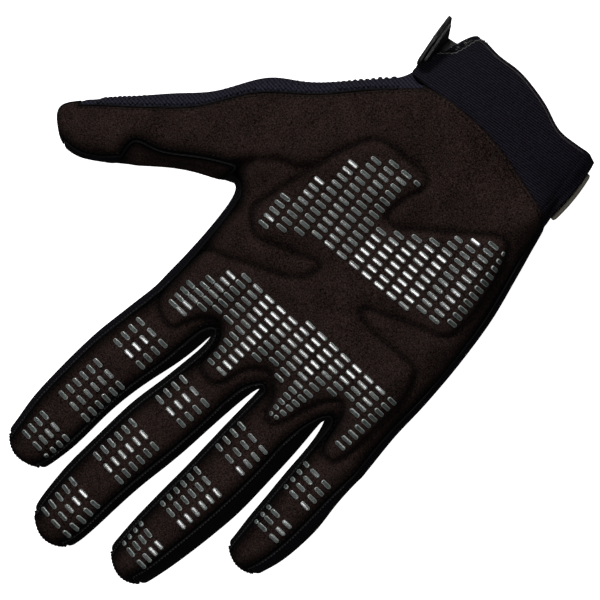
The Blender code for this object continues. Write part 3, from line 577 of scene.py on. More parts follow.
def twill_material(sizes, colours):
    """Stretch twill: fine slanted lines that catch the light along their tops."""
    material, tree, shader, place = start_material(
        "stretch_twill", Roughness=0.8, Specular_IOR_Level=0.02, Sheen_Weight=0.005, Sheen_Roughness=0.5)
    lines = wave(tree, turned_place(tree, place, -14), sizes.twill_pitch, "Y", distortion=0.5)
    rough = multiply_add(tree, noise(tree, place, 0.45 * MM, 2.0), 2.4, lines)
    shown = mix(tree, spread(tree, rough, 1.35, 2.35), colours.twill_dark, colours.twill)
    finish_material(tree, shader, shown, rough, 0.12 * MM)
    return material


def silicone_material(colours):
    """Screen-printed silicone: grey, half clear and glossy, so each bar shows a bright streak of the
    light. Its shoulders carry a painted highlight in a paler colour."""
    material, tree, shader, place = start_material(
        "printed_silicone", Roughness=0.24, Specular_IOR_Level=0.55, IOR=1.43, Coat_Weight=0.35,
        Coat_Roughness=0.12)
    cast = noise(tree, place, 1.3 * MM, 1.0)
    middle = mix(tree, spread(tree, cast, 0.3, 0.7), dimmed(colours.grip, 0.38), colours.grip)
    # Painted highlight: the bars' shoulders take the paler highlight colour
    shown = mix(tree, marked(tree, "edge_highlight"), middle, colours.grip_highlight)
    finish_material(tree, shader, shown, cast, 0.035 * MM)
    return material


def thread_material(name, colour, shine=0.4):
    """Twisted polyester thread: slanted plies with a slight shine."""
    material, tree, shader, place = start_material(name, Roughness=0.55, Specular_IOR_Level=shine)
    plies = wave(tree, turned_place(tree, place, 40), 0.4 * MM, "X")
    finish_material(tree, shader, mix(tree, plies, dimmed(colour, 0.5), colour), plies, 0.08 * MM)
    return material


def strap_material(name, colour, band):
    """Moulded thermoplastic rubber on a woven core: matt, with a faint leather-like grain and a pale end."""
    material, tree, shader, place = start_material(name, Roughness=0.6, Specular_IOR_Level=0.4)
    grain = add_node(tree, "ShaderNodeTexVoronoi", {"Vector": place, "Scale": 1 / (0.9 * MM)})
    worn = mix(tree, noise(tree, place, 6 * MM, 3.0), dimmed(colour, 0.55), colour)
    shown = mix(tree, marked(tree, "band"), worn, band)
    finish_material(tree, shader, shown, grain.outputs["Distance"], 0.15 * MM)
    return material


def hook_material(colours):
    """Nylon hooks and loops: black, with small flecks where single loops catch the light."""
    material, tree, shader, place = start_material("nylon_hooks_and_loops", Roughness=0.5,
                                                   Specular_IOR_Level=0.5)
    tufts = noise(tree, place, 0.55 * MM, 3.0)
    shown = mix(tree, spread(tree, tufts, 0.60, 0.72), colours.hook, colours.fleck)
    finish_material(tree, shader, shown, tufts, 0.5 * MM)
    return material


def floor_material(colours):
    """Matt white paper, bright enough to show no shadow under soft light."""
    material, tree, shader, place = start_material("matt_white_paper", Roughness=1.0, Specular_IOR_Level=0.0,
                                                   Emission_Color=colours.floor, Emission_Strength=1.0)
    shown = mix(tree, noise(tree, place, 0.25, 2.0), dimmed(colours.floor, 0.97), colours.floor)
    tree.links.new(shown, shader.inputs["Base Color"])
    return material


# The smooth skin of the glove, worked out as for the solids but finer

def rounded(offset):
    """Height of the rounded section at a sideways offset, both as shares of the half size."""
    return (1 - np.minimum(np.abs(offset), 1) ** FLATNESS) ** (1 / FLATNESS)


class Cage:
    """The rings of table points and the faces between them, each marked with its panel."""

    def __init__(self):
        self.points = []
        self.faces = []
        self.panels = []

    def add(self, points):
        start = len(self.points)
        self.points += [tuple(point) for point in points]
        return list(range(start, len(self.points)))

    def face(self, corners, panel):
        self.faces.append(tuple(corners))
        self.panels.append(PANELS.index(panel))

    def band(self, near, far, panels):
        """Faces between two rings. A panel of None leaves that cell open."""
        count = len(near)
        for cell, panel in enumerate(panels):
            after = (cell + 1) % count
            if panel:
                self.face((near[cell], near[after], far[after], far[cell]), panel)


def finger_centres():
    """Sideways place of each finger's root, side by side from the little finger."""
    centres = []
    edge = LITTLE_SIDE
    for finger in FINGERS:
        centres.append(edge + finger.width / 2)
        edge += finger.width + FINGER_GAP
    return centres


def across(values, count):
    """Smooth values over a ring's columns: a parabola through those at its left, middle and right."""
    left, middle, right = values
    share = np.linspace(-1, 1, count)
    return middle + (right - left) / 2 * share + ((left + right) / 2 - middle) * share ** 2


def knuckle_columns():
    """Places of the palm side's columns at the knuckles: a finger's middle or a web."""
    centres = finger_centres()
    edge = PALM_RINGS[0]
    places = [((edge.left + edge.seams[0]) * KNUCKLE_WIDTH, edge.along[0])]
    for number, finger in enumerate(FINGERS):
        places.append((centres[number], finger.root))
        if number < len(WEBS):
            web_x = centres[number] + finger.width / 2 + FINGER_GAP / 2
            places.append((web_x + WEBS[number].shift * KNUCKLE_WIDTH, WEBS[number].along))
    places.append(((edge.right - edge.seams[1]) * KNUCKLE_WIDTH, edge.along[2]))
    return places


def strap_lift():
    """Height of the underside of the cuff: it lies on the strap."""
    return STRAP_THICKNESS + STRAP_CLEARANCE


def palm_ring(number):
    """Palm side columns, thumb side, back columns and little-finger side of one palm ring."""
    ring = PALM_RINGS[number]
    left = ring.left * KNUCKLE_WIDTH
    right = ring.right * KNUCKLE_WIDTH
    knuckles = knuckle_columns()
    knuckle_share = np.array([(x - knuckles[0][0]) / (knuckles[-1][0] - knuckles[0][0]) for x, _ in knuckles])
    even_share = np.linspace(0, 1, COLUMNS)
    towards_wrist = number / (len(PALM_RINGS) - 1)
    share = knuckle_share * (1 - towards_wrist) + even_share * towards_wrist
    insets = np.array(ring.seams) * KNUCKLE_WIDTH
    x = left + insets[0] + share * (right - left - insets.sum())
    y = WRIST_Y + PALM_LENGTH * across(ring.along, COLUMNS)
    z = PALM_DEPTH * across((ring.low, ring.mid, ring.high), COLUMNS)
    if number == 0:
        x = np.array([place[0] for place in knuckles])
        y = WRIST_Y + PALM_LENGTH * np.array([place[1] for place in knuckles])
        webs = slice(FINGER_COLUMNS, COLUMNS - 1, FINGER_COLUMNS)
        z[webs] -= 0.14 * PALM_DEPTH
    if ring.name == "wrist":
        x[1] = WRIST_CUFF_SEAM * KNUCKLE_WIDTH
    rim = ring.rim * PALM_DEPTH
    heights = PALM_DEPTH * (0.5 + 0.5 * rounded(1 - 2 * insets / (right - left)))
    opens_to_thumb = number in THUMB_RINGS_ON_PALM[1:-1]
    z[0] = ring.low * heights[0]
    z[-1] = 0.93 * PALM_DEPTH if opens_to_thumb else ring.high * heights[1]
    lift = strap_lift() if ring.name == "wrist" else 0.0
    back_x = (x - (left + right) / 2) * 0.93 + (left + right) / 2
    back_z = np.full(COLUMNS, lift)
    back_z[0] += 0.13 * PALM_DEPTH
    back_z[-1] += 0.0 if opens_to_thumb else 0.13 * PALM_DEPTH
    palm_side = np.stack([x, y, z], axis=1)
    back = np.stack([back_x, y, back_z], axis=1)
    return palm_side, (right, y[-1], rim), back, (left, y[0], rim)


def cuff_ring(number):
    """The same four runs of points for a cuff ring. Its thumb side is the outer edge of the back flap."""
    ring = CUFF_RINGS[number]
    left, seam, edge, flap = (share * KNUCKLE_WIDTH for share in (ring.left, ring.seam, ring.edge, ring.flap))
    x = np.concatenate([[left + 0.015 * KNUCKLE_WIDTH], np.linspace(seam, edge, COLUMNS - 1)])
    y = WRIST_Y - CUFF_LENGTH * across(ring.along, COLUMNS)
    middle = (left + edge) / 2
    half = (edge - left) / 2
    z = PALM_DEPTH * ring.height * (0.35 + 0.65 * rounded((x - middle) / half * 0.97))
    back_x = np.linspace(left + 0.05 * KNUCKLE_WIDTH, flap - 0.05 * KNUCKLE_WIDTH, COLUMNS)
    back_z = np.full(COLUMNS, strap_lift())
    back_z[0] += 0.08 * PALM_DEPTH
    palm_side = np.stack([x, y, z], axis=1)
    back = np.stack([back_x, y, back_z], axis=1)
    return palm_side, (flap, y[-1], back_z[-1] + 0.05 * PALM_DEPTH), back, (left, y[0], ring.rim * PALM_DEPTH)


def finger_ring(finger, centre, ring):
    """Eight points round a finger: palm side left to right, right side, back right to left, left side."""
    half = ring.wide * finger.width / 2
    deep = ring.deep * finger.depth
    x = centre + ring.shift * finger.width
    y = WRIST_Y + finger.root * PALM_LENGTH + ring.along * finger.length
    settled = min(2 * ring.along, 1)
    seam_left = finger.seam_root + (finger.seam_left - finger.seam_root) * settled
    offsets = np.array([seam_left, (seam_left + finger.seam_right) / 2, finger.seam_right])
    heights = deep / 2 * (1 + rounded(offsets))
    palm_side = [(x + half * offset, y, z) for offset, z in zip(offsets, heights)]
    back = [(x + half * offset, y, z) for offset, z in ((0.7, 0.07 * deep), (0, 0), (-0.7, 0.07 * deep))]
    return palm_side + [(x + half, y, 0.46 * deep)] + back + [(x - half, y, 0.46 * deep)]


def thumb_place(place):
    """A thumb table place, along and across shares, as sideways and lengthways metres."""
    along = place[0] * THUMB_LENGTH
    over = place[1] * THUMB_WIDTH
    x = THUMB_ROOT[0] + along * math.sin(THUMB_ANGLE) - over * math.cos(THUMB_ANGLE)
    y = THUMB_ROOT[1] + along * math.cos(THUMB_ANGLE) + over * math.sin(THUMB_ANGLE)
    return np.array([x, y])


def thumb_ring(ring):
    """Ten points round the thumb: palm side from the index side outwards, outer side, back, index side."""
    upper = thumb_place(ring.upper)
    lower = thumb_place(ring.lower)
    deep = ring.deep * THUMB_DEPTH
    shares = np.array([0.045, ring.patch, (ring.patch + ring.seam) / 2 + 0.02, ring.seam])
    heights = deep / 2 * (1 + rounded(2 * shares - 1))
    palm_side = [(*(upper + share * (lower - upper)), z) for share, z in zip(shares, heights)]
    back_shares = ((0.90, 0.08), (0.66, 0), (0.34, 0), (0.10, 0.08))
    back = [(*(upper + share * (lower - upper)), z * deep) for share, z in back_shares]
    return palm_side + [(*lower, 0.44 * deep)] + back + [(*upper, 0.46 * deep)]


def add_finger(cage, number, ring_ids, centre, side_panels):
    """The finger's bands and its tip, closed along the side seams."""
    finger = FINGERS[number]
    left_panel, right_panel = side_panels
    band_panels = ["palm_panel"] * 2 + [right_panel] * 2 + ["back_panel"] * 2 + [left_panel] * 2
    near = ring_ids
    for ring in finger.rows:
        far = cage.add(finger_ring(finger, centre, ring))
        cage.band(near, far, band_panels)
        near = far
    tip_y = WRIST_Y + finger.root * PALM_LENGTH + finger.length
    tip = cage.add([(centre + finger.tip.shift * finger.width, tip_y, finger.tip.deep * finger.depth)])[0]
    palm_left, palm_middle, palm_right, right, back_right, back_middle, back_left, left = near
    cage.face((palm_left, palm_middle, tip, left), "palm_panel")
    cage.face((palm_middle, palm_right, right, tip), "palm_panel")
    cage.face((right, back_right, back_middle, tip), "back_panel")
    cage.face((tip, back_middle, back_left, left), "back_panel")


def add_thumb(cage, ring_ids):
    """The thumb's bands, with the crotch patch on the inner side, and its blunt tip."""
    near = ring_ids
    for number, ring in enumerate(THUMB_RINGS):
        far = cage.add(thumb_ring(ring))
        patched = 1 <= number <= PATCH_BANDS
        crotch = "thumb_patch" if patched else "palm_panel"
        index_side = "thumb_patch" if patched else "back_panel"
        cage.band(near, far, [crotch, "palm_panel", "palm_panel", "back_panel", "back_panel",
                              "back_panel", "back_panel", "back_panel", "back_panel", index_side])
        near = far
    upper, lower = thumb_place(THUMB_TIP.upper), thumb_place(THUMB_TIP.lower)
    tips = cage.add([(*place, THUMB_TIP.deep * THUMB_DEPTH) for place in (upper, lower)])
    palm = near[0:4]
    outer = near[4]
    back = near[5:9]
    inner = near[9]
    edge = [inner, tips[0], tips[1], outer]
    for cell in range(3):
        cage.face((palm[cell], palm[cell + 1], edge[cell + 1], edge[cell]), "palm_panel")
        cage.face((edge[cell], edge[cell + 1], back[2 - cell], back[3 - cell]), "back_panel")


def build_cage():
    """All rings of the hand, the cuff, the fingers and the thumb, as points, faces and panel numbers."""
    cage = Cage()
    runs = [palm_ring(number) for number in range(len(PALM_RINGS))]
    runs += [cuff_ring(number) for number in range(len(CUFF_RINGS))]
    rings = [(cage.add(palm_side), cage.add([thumb_side])[0], cage.add(back), cage.add([little_side])[0])
             for palm_side, thumb_side, back, little_side in runs]
    cuff_start = len(PALM_RINGS) - 1
    cells = COLUMNS - 1
    for number in range(len(rings) - 1):
        far, near = (ring[0] + [ring[1]] + ring[2][::-1] + [ring[3]] for ring in rings[number:number + 2])
        if number >= cuff_start:
            panels = ["cuff_back"] + ["cuff_palm"] * (cells - 1) + [None] + ["cuff_back"] * (cells + 3)
        else:
            thumb_open = number in THUMB_RINGS_ON_PALM[:-1]
            side = None if thumb_open else "back_panel"
            panels = ["palm_panel"] * cells + [side] * 2 + ["back_panel"] * (cells + 2)
        cage.band(near, far, panels)

    # The webs' middle points join neighbouring fingers between their palm sides and their backs.
    palm, thumb_side, back, little_side = rings[0]
    webs = [little_side]
    for column in range(FINGER_COLUMNS, COLUMNS - 1, FINGER_COLUMNS):
        palm_point, back_point = np.array(cage.points[palm[column]]), np.array(cage.points[back[column]])
        middle = 0.55 * palm_point + 0.45 * back_point
        webs += cage.add([middle + (0, 0.02 * PALM_LENGTH, 0)])
    webs.append(thumb_side)
    between = ["back_panel"] + list(FOURCHETTES) + ["back_panel"]
    for number, centre in enumerate(finger_centres()):
        column = number * FINGER_COLUMNS
        ring = palm[column:column + 3] + [webs[number + 1]] + back[column:column + 3][::-1] + [webs[number]]
        add_finger(cage, number, ring, centre, (between[number], between[number + 1]))

    thumb = [rings[number] for number in THUMB_RINGS_ON_PALM]
    add_thumb(cage, [ring[0][-1] for ring in thumb] + [thumb[-1][1]]
              + [ring[2][-1] for ring in thumb[::-1]] + [thumb[0][1]])
    used, faces = np.unique(np.array(cage.faces), return_inverse=True)
    return np.array(cage.points)[used], faces.reshape(-1, 4), np.array(cage.panels)


def limit_points(points, quads):
    """Where the smooth surface puts each control point: a weighted mean of it and of the points round it."""
    starts, ends = quads, np.roll(quads, -1, axis=1)
    opposite = np.roll(quads, -2, axis=1)
    edges = np.sort(np.stack([starts.ravel(), ends.ravel()], axis=1), axis=1)
    edges, uses = np.unique(edges, axis=0, return_counts=True)
    near_edge = np.zeros_like(points)
    near_face = np.zeros_like(points)
    near_rim = np.zeros_like(points)
    valence = np.zeros(len(points))
    for a, b in ((0, 1), (1, 0)):
        np.add.at(near_edge, edges[:, a], points[edges[:, b]])
        np.add.at(valence, edges[:, a], 1)
        rim = uses == 1
        np.add.at(near_rim, edges[rim, a], points[edges[rim, b]])
    np.add.at(near_face, starts.ravel(), points[opposite.ravel()])
    weight = valence[:, None]
    inside = (weight ** 2 * points + 4 * near_edge + near_face) / (weight * (weight + 5))
    on_rim = np.zeros(len(points), bool)
    on_rim[edges[uses == 1].ravel()] = True
    return np.where(on_rim[:, None], (4 * points + near_rim) / 6, inside)


def mesh_arrays(mesh):
    """Points, four corners of each face and the face's material number of an all-quad mesh."""
    points = np.empty(len(mesh.vertices) * 3)
    mesh.vertices.foreach_get("co", points)
    corners = np.empty(len(mesh.loops), int)
    mesh.loops.foreach_get("vertex_index", corners)
    panels = np.empty(len(mesh.polygons), int)
    mesh.polygons.foreach_get("material_index", panels)
    return points.reshape(-1, 3), corners.reshape(-1, 4), panels


def point_normals(points, quads):
    """Unit normal of each point: the sum of its faces' diagonals crossed."""
    a, b, c, d = (points[quads[:, corner]] for corner in range(4))
    facing = np.cross(c - a, d - b)
    total = np.zeros_like(points)
    for corner in range(4):
        np.add.at(total, quads[:, corner], facing)
    return total / np.maximum(np.linalg.norm(total, axis=1, keepdims=True), 1e-12)


def rounded_patch(points, quads, panels, passes):
    """The skin with the corners of the crotch patch rounded: the points of its seam with the palm move
    towards the mean of their two neighbours in every pass, its tip humps, and the skin round them moves
    along with the nearest one."""
    steps = np.stack([quads, np.roll(quads, -1, axis=1)], axis=-1)
    patch = steps[panels == PANELS.index("thumb_patch")].reshape(-1, 2)
    palm = steps[panels == PANELS.index("palm_panel")].reshape(-1, 2)
    size = len(points)
    seam = patch[np.isin(patch[:, 0] * size + patch[:, 1], palm[:, 1] * size + palm[:, 0])]
    before, after = np.full(size, -1), np.full(size, -1)
    after[seam[:, 0]] = seam[:, 1]
    before[seam[:, 1]] = seam[:, 0]
    middle = np.flatnonzero((before >= 0) & (after >= 0))
    moved = points.copy()
    for _ in range(passes):
        moved[middle] = 0.5 * moved[middle] + 0.25 * (moved[before[middle]] + moved[after[middle]])
    from_hump = np.linalg.norm(points[middle, :2] - HUMP_PLACE, axis=1)
    moved[middle] += bell(from_hump, HUMP_WIDTH)[:, None] * HUMP_MOVE
    shift = moved[middle] - points[middle]
    low, high = points[middle].min(axis=0) - PATCH_REACH, points[middle].max(axis=0) + PATCH_REACH
    around = np.flatnonzero(((points > low) & (points < high)).all(axis=1))
    gap = np.linalg.norm(points[around, None] - points[middle], axis=2)
    fade = np.clip(1 - gap.min(axis=1) / PATCH_REACH, 0, 1)[:, None]
    points = points.copy()
    points[around] += fade ** 2 * (3 - 2 * fade) * shift[gap.argmin(axis=1)]
    return points


@functools.lru_cache(maxsize=None)
def smooth_skin(level):
    """The glove's outer surface at a subdivision level: points, quads, the panel of each quad, and
    normals."""
    target, quads, panels = build_cage()
    cage = target.copy()
    for _ in range(CAGE_PASSES):
        cage += target - limit_points(cage, quads)
    mesh = bpy.data.meshes.new("skin")
    mesh.from_pydata(cage.tolist(), [], quads.tolist())
    marks = [bpy.data.materials.new(panel + "_mark") for panel in PANELS]
    for mark in marks:
        mesh.materials.append(mark)
    mesh.polygons.foreach_set("material_index", panels.astype(np.int32))
    skin = bpy.data.objects.new("skin", mesh)
    bpy.context.scene.collection.objects.link(skin)
    smoother = skin.modifiers.new("smooth", "SUBSURF")
    smoother.levels = smoother.render_levels = level
    evaluated = skin.evaluated_get(bpy.context.evaluated_depsgraph_get())
    points, quads, panels = mesh_arrays(evaluated.to_mesh())
    evaluated.to_mesh_clear()
    bpy.data.objects.remove(skin)
    bpy.data.meshes.remove(mesh)
    for mark in marks:
        bpy.data.materials.remove(mark)
    points[:, 2] = np.maximum(points[:, 2], 0)
    points = rounded_patch(points, quads, panels, passes=4 ** level // 4)
    return points, quads, panels, point_normals(points, quads)


def shaped_cuff(points, name):
    """The cuff's points moved lengthways by bell curves across it, the more the nearer to its mouth. Its
    palm side also reaches further round the thumb side of the wrist, the more the nearer to the hand."""
    share = np.clip((WRIST_Y - points[:, 1]) / CUFF_LENGTH, 0, 1) ** 2
    moved = points.copy()
    for swing in MOUTH_SWINGS_MM:
        moved[:, 1] -= swing.out * MM * share * bell(points[:, 0] - swing.x * MM, swing.width * MM)
    if name == "cuff_palm":
        over = np.clip((points[:, 0] - WRAP_FROM) / WRAP_WIDTH, 0, 1) ** 2
        near = np.clip(1 - (WRIST_Y - points[:, 1]) / WRAP_LENGTH, 0, 1)
        moved[:, 0] += WRAP_REACH * over * near
        moved[:, 2] -= WRAP_DROP * over * near
    return moved


Sheet = namedtuple("Sheet", "points quads normals rim")


@functools.lru_cache(maxsize=None)
def panel_sheet(name, level):
    """One panel of the skin, with its rim as a table of the point after each rim point."""
    points, quads, panels, normals = smooth_skin(level)
    used, flat = np.unique(quads[panels == PANELS.index(name)], return_inverse=True)
    quads = flat.reshape(-1, 4)
    directed = np.stack([quads.ravel(), np.roll(quads, -1, axis=1).ravel()], axis=1)
    size = len(used)
    forward = directed[:, 0] * size + directed[:, 1]
    backward = directed[:, 1] * size + directed[:, 0]
    points = shaped_cuff(points[used], name) if name.startswith("cuff") else points[used]
    return Sheet(points, quads, normals[used], directed[~np.isin(forward, backward)])


# Curves, distances and reliefs

def smooth_line(points, steps, closed):
    """A smooth line through chosen points: between two of them a cubic whose slopes are half the step from
    the point before to the point after."""
    points = np.asarray(points, float)
    if closed:
        before, start = np.roll(points, 1, axis=0), points
        end, after = np.roll(points, -1, axis=0), np.roll(points, -2, axis=0)
    else:
        padded = np.concatenate([2 * points[:1] - points[1:2], points, 2 * points[-1:] - points[-2:-1]])
        before, start, end, after = padded[:-3], padded[1:-2], padded[2:-1], padded[3:]
    share = (np.arange(steps) / steps)[None, :, None]
    before, start, end, after = (values[:, None, :] for values in (before, start, end, after))
    line = 0.5 * (2 * start + (end - before) * share + (2 * before - 5 * start + 4 * end - after) * share ** 2
                  + (3 * start - before - 3 * end + after) * share ** 3)
    line = line.reshape(-1, points.shape[1])
    return line if closed else np.concatenate([line, points[-1:]])


def gap_to_segments(points, starts, ends, chunk=1000):
    """Distance of each point to the nearest of a set of straight segments."""
    run = ends - starts
    square = np.maximum((run ** 2).sum(axis=1), 1e-18)
    nearest = np.empty(len(points))
    for first in range(0, len(points), chunk):
        offset = points[first:first + chunk, None, :] - starts
        share = np.clip((offset * run).sum(axis=2) / square, 0, 1)
        gap = offset - share[..., None] * run
        nearest[first:first + chunk] = np.sqrt((gap ** 2).sum(axis=2).min(axis=1))
    return nearest


def inside_outline(points, starts, ends, chunk=1000):
    """Which points lie inside an outline of straight segments: a ray from each crosses it an odd number of
    times."""
    rise = np.where(ends[:, 1] == starts[:, 1], 1.0, ends[:, 1] - starts[:, 1])
    lean = (ends[:, 0] - starts[:, 0]) / rise
    inside = np.empty(len(points), bool)
    for first in range(0, len(points), chunk):
        x, y = points[first:first + chunk, 0, None], points[first:first + chunk, 1, None]
        spans = (starts[:, 1] > y) != (ends[:, 1] > y)
        crossed = spans & (x < starts[:, 0] + (y - starts[:, 1]) * lean)
        inside[first:first + chunk] = crossed.sum(axis=1) % 2 == 1
    return inside


@functools.lru_cache(maxsize=None)
def pad_line():
    """The smooth stitched line round the pads, in metres."""
    return smooth_line(PAD_OUTLINE_MM, 6, closed=True) * MM


def gap_to_pads(places):
    """Distance of each sideways and lengthways place to the stitched line, positive inside the pads."""
    starts, ends = pad_line(), np.roll(pad_line(), -1, axis=0)
    gap = gap_to_segments(places, starts, ends)
    return np.where(inside_outline(places, starts, ends), gap, -gap)


def soft_noise(points, size, seed):
    """Smooth random heights from -1 to 1: random values on a lattice, blended with a cubic step in each
    cell."""
    cell = points / size
    base = np.floor(cell).astype(int)
    share = cell - base
    share = share * share * (3 - 2 * share)
    values = np.random.default_rng(seed).uniform(-1, 1, 4096)
    total = np.zeros(len(points))
    for corner in np.ndindex(2, 2, 2):
        key = ((base + corner) * (73, 1179, 2083)).sum(axis=1) % len(values)
        total += values[key] * np.where(corner, share, 1 - share).prod(axis=1)
    return total


def bell(gap, width):
    """A bell curve of a distance: 1 at 0 and a third at the given width."""
    return np.exp(-(gap / width) ** 2)


def seam_relief(rim_gap, sizes):
    """Dip of a panel at its seams, with a slight roll of cloth just beside it."""
    roll = 0.3 * sizes.seam_depth * bell(rim_gap - 2.4 * sizes.seam_width, 1.2 * sizes.seam_width)
    return roll - sizes.seam_depth * bell(rim_gap, sizes.seam_width)


def palm_relief(points, sizes):
    """Height of the palm over its smooth skin, and the distance that sets its painted shade, to the stitched
    line or drawn in to the deep folds: foam pads with a puffed edge, the groove between them, the folds of
    the suede and its soft unevenness."""
    gap = gap_to_pads(points[:, :2])
    width = sizes.groove_width
    pads = sizes.pad_height / (1 + np.exp(-gap / (0.5 * width)))
    height = pads - sizes.groove_depth * np.exp(-np.abs(gap) / width)
    gap = np.abs(gap)
    for fold in FOLDS_MM:
        line = smooth_line(fold.line, 6, closed=False) * MM
        near = gap_to_segments(points[:, :2], line[:-1], line[1:])
        height -= fold.depth * MM * bell(near, fold.width * MM)
        # Deep folds also get the painted shade of the quilting
        if fold.depth > SHADED_FOLD_MM:
            gap = np.minimum(gap, FOLD_SHADE * near / (fold.width * MM))
    return height + sum(swell.height * soft_noise(points, swell.size, swell.seed)
                        for swell in SUEDE_SWELLS), gap


# Meshes

def make_piece(name, points, faces, material, attributes=None):
    """A mesh object from arrays, riding on the glove's one body."""
    mesh = bpy.data.meshes.new(name)
    mesh.from_pydata(np.asarray(points).tolist(), [], [list(face) for face in faces])
    for key, values in (attributes or {}).items():
        mesh.attributes.new(key, "FLOAT", "POINT").data.foreach_set("value", values.astype(np.float32))
    mesh.shade_smooth()
    mesh.materials.append(material)
    piece = bpy.data.objects.new(name, mesh)
    bpy.context.scene.collection.objects.link(piece)
    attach(piece, "root")
    return piece


def shell_faces(quads, rim, count):
    """Faces of a closed shell: the outer sheet, the inner one turned round, and walls along the rim."""
    inner = count + quads[:, ::-1]
    walls = np.stack([rim[:, 1], rim[:, 0], count + rim[:, 0], count + rim[:, 1]], axis=1)
    return np.concatenate([quads, inner, walls]).tolist()


def dress_panel(node, level, material, relief=None, lift=0.0):
    """A panel as a closed shell: its outer sheet is the skin moved along its normals by the relief and the
    dip at its seams, and its inner sheet lies one wall below the skin."""
    sizes = bpy.context.scene.glove_sizes
    sheet = panel_sheet(node, level)
    rim_gap = gap_to_segments(sheet.points, sheet.points[sheet.rim[:, 0]], sheet.points[sheet.rim[:, 1]])
    dip = np.clip((sheet.points[:, 1] - CUFF_SEAM_BELOW) / CUFF_SEAM_FADE, LEAST_DIP, 1)
    height = dip * seam_relief(rim_gap, sizes) + lift * (1 - bell(rim_gap, sizes.seam_width))
    # Distance that sets the painted shade of the quilting, the deep folds and the seams
    groove_gap = rim_gap
    if relief:
        extra, gap = relief(sheet.points, sizes)
        height += extra * np.minimum(rim_gap / sizes.seam_width, 1)
        groove_gap = np.minimum(gap, RIM_SHADE * rim_gap)
    else:
        height += CLOTH_SWELL.height * soft_noise(sheet.points, CLOTH_SWELL.size, CLOTH_SWELL.seed)
    outer = sheet.points + height[:, None] * sheet.normals
    wall = WALLS[node]
    inner = sheet.points + np.minimum(-wall, height - LEAST_WALL * wall)[:, None] * sheet.normals
    rests = sheet.normals[:, 2] < FACES_DOWN
    floor = strap_lift() - CUFF_SETTLE if node.startswith("cuff") else ABOVE_FLOOR
    outer[:, 2] = np.maximum(outer[:, 2], floor)
    inner[rests, 2] = np.maximum(inner[rests, 2], wall + floor)
    starts, ends = (sheet.points[sheet.rim[:, end]] for end in (0, 1))
    # Painted shade where the suede turns down at its seams: every seam but the thumb's outer one and the
    # cuff's
    shaded_seams = (starts[:, 0] - starts[:, 1] < THUMB_SEAM_PAST) & (starts[:, 1] > CUFF_SEAM_BELOW)
    far = np.full(len(inner), FAR)
    turned_gap = far
    if shaded_seams.any():
        turned_gap = gap_to_segments(sheet.points, starts[shaded_seams], ends[shaded_seams])
    gaps = {"groove_shade_gap_mm": np.concatenate([groove_gap, far]) / MM,
            "seam_shade_gap_mm": np.concatenate([turned_gap, far]) / MM}
    # Painted shade of the back's knit: 1 on the lit thumb's outer side, falling to 0 elsewhere
    outside = (sheet.points[:, 0] - sheet.points[:, 1] - KNIT_FADES_FROM) / KNIT_FADE
    marks = {"thumb_side": np.tile(np.clip(outside, 0, 1), 2)}
    piece = make_piece(node + "_cloth", np.concatenate([outer, inner]),
                       shell_faces(sheet.quads, sheet.rim, len(outer)), material,
                       gaps if relief or node == "thumb_patch" else marks)
    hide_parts(node)
    return piece


def tube_along_rim(name, sheet, radius, sink, material, chosen=None, sides=6):
    """A thin tube along a panel's rim: each rim point gets a circle, square to the step from the point before
    it to the point after it, and each rim edge joins the circles at its ends."""
    rim = sheet.rim if chosen is None else sheet.rim[chosen]
    after = np.full(len(sheet.points), -1)
    before = np.full(len(sheet.points), -1)
    after[rim[:, 0]] = rim[:, 1]
    before[rim[:, 1]] = rim[:, 0]
    used = np.unique(rim)
    place = np.full(len(sheet.points), -1)
    place[used] = np.arange(len(used))
    ahead = np.where(after[used] >= 0, after[used], used)
    behind = np.where(before[used] >= 0, before[used], used)
    run = sheet.points[ahead] - sheet.points[behind]
    run /= np.maximum(np.linalg.norm(run, axis=1, keepdims=True), 1e-9)
    normal = sheet.normals[used]
    side = np.cross(run, normal)
    side /= np.maximum(np.linalg.norm(side, axis=1, keepdims=True), 1e-9)
    up = np.cross(side, run)
    turn = np.arange(sides) * 2 * math.pi / sides
    centre = sheet.points[used] - sink * normal
    ring = centre[:, None, :] + radius * (np.cos(turn)[None, :, None] * up[:, None, :]
                                          + np.sin(turn)[None, :, None] * side[:, None, :])
    first = place[rim[:, 0]][:, None] * sides + np.arange(sides)
    second = place[rim[:, 1]][:, None] * sides + np.arange(sides)
    faces = np.stack([first, np.roll(first, -1, axis=1), np.roll(second, -1, axis=1), second], axis=-1)
    faces = faces.reshape(-1, 4).tolist()
    open_starts = used[before[used] < 0]
    open_ends = used[after[used] < 0]
    faces += [(place[point] * sides + np.arange(sides))[::-1].tolist() for point in open_starts]
    faces += [(place[point] * sides + np.arange(sides)).tolist() for point in open_ends]
    points = ring.reshape(-1, 3)
    points[:, 2] = np.maximum(points[:, 2], ABOVE_FLOOR)
    return make_piece(name, points, faces, material)


def rim_loops(sheet):
    """The rim's closed runs of points, followed from each point to the one after it."""
    after = dict(sheet.rim.tolist())
    loops = []
    while after:
        start, point = after.popitem()
        loop = [start]
        while point != start:
            loop.append(point)
            point = after.pop(point)
        loops.append(np.array(loop))
    return loops


def spaced(line, pitch, closed):
    """Places at even steps along a line, and the line's direction at each."""
    if closed:
        line = np.concatenate([line, line[:1]])
    step = np.diff(line, axis=0)
    length = np.linalg.norm(step, axis=1)
    walked = np.concatenate([[0], np.cumsum(length)])
    at = np.arange(pitch / 2, walked[-1], pitch)
    places = np.stack([np.interp(at, walked, line[:, axis]) for axis in range(line.shape[1])], axis=1)
    number = np.minimum(np.searchsorted(walked, at) - 1, len(step) - 1)
    return places, step[number] / np.maximum(length[number, None], 1e-12)


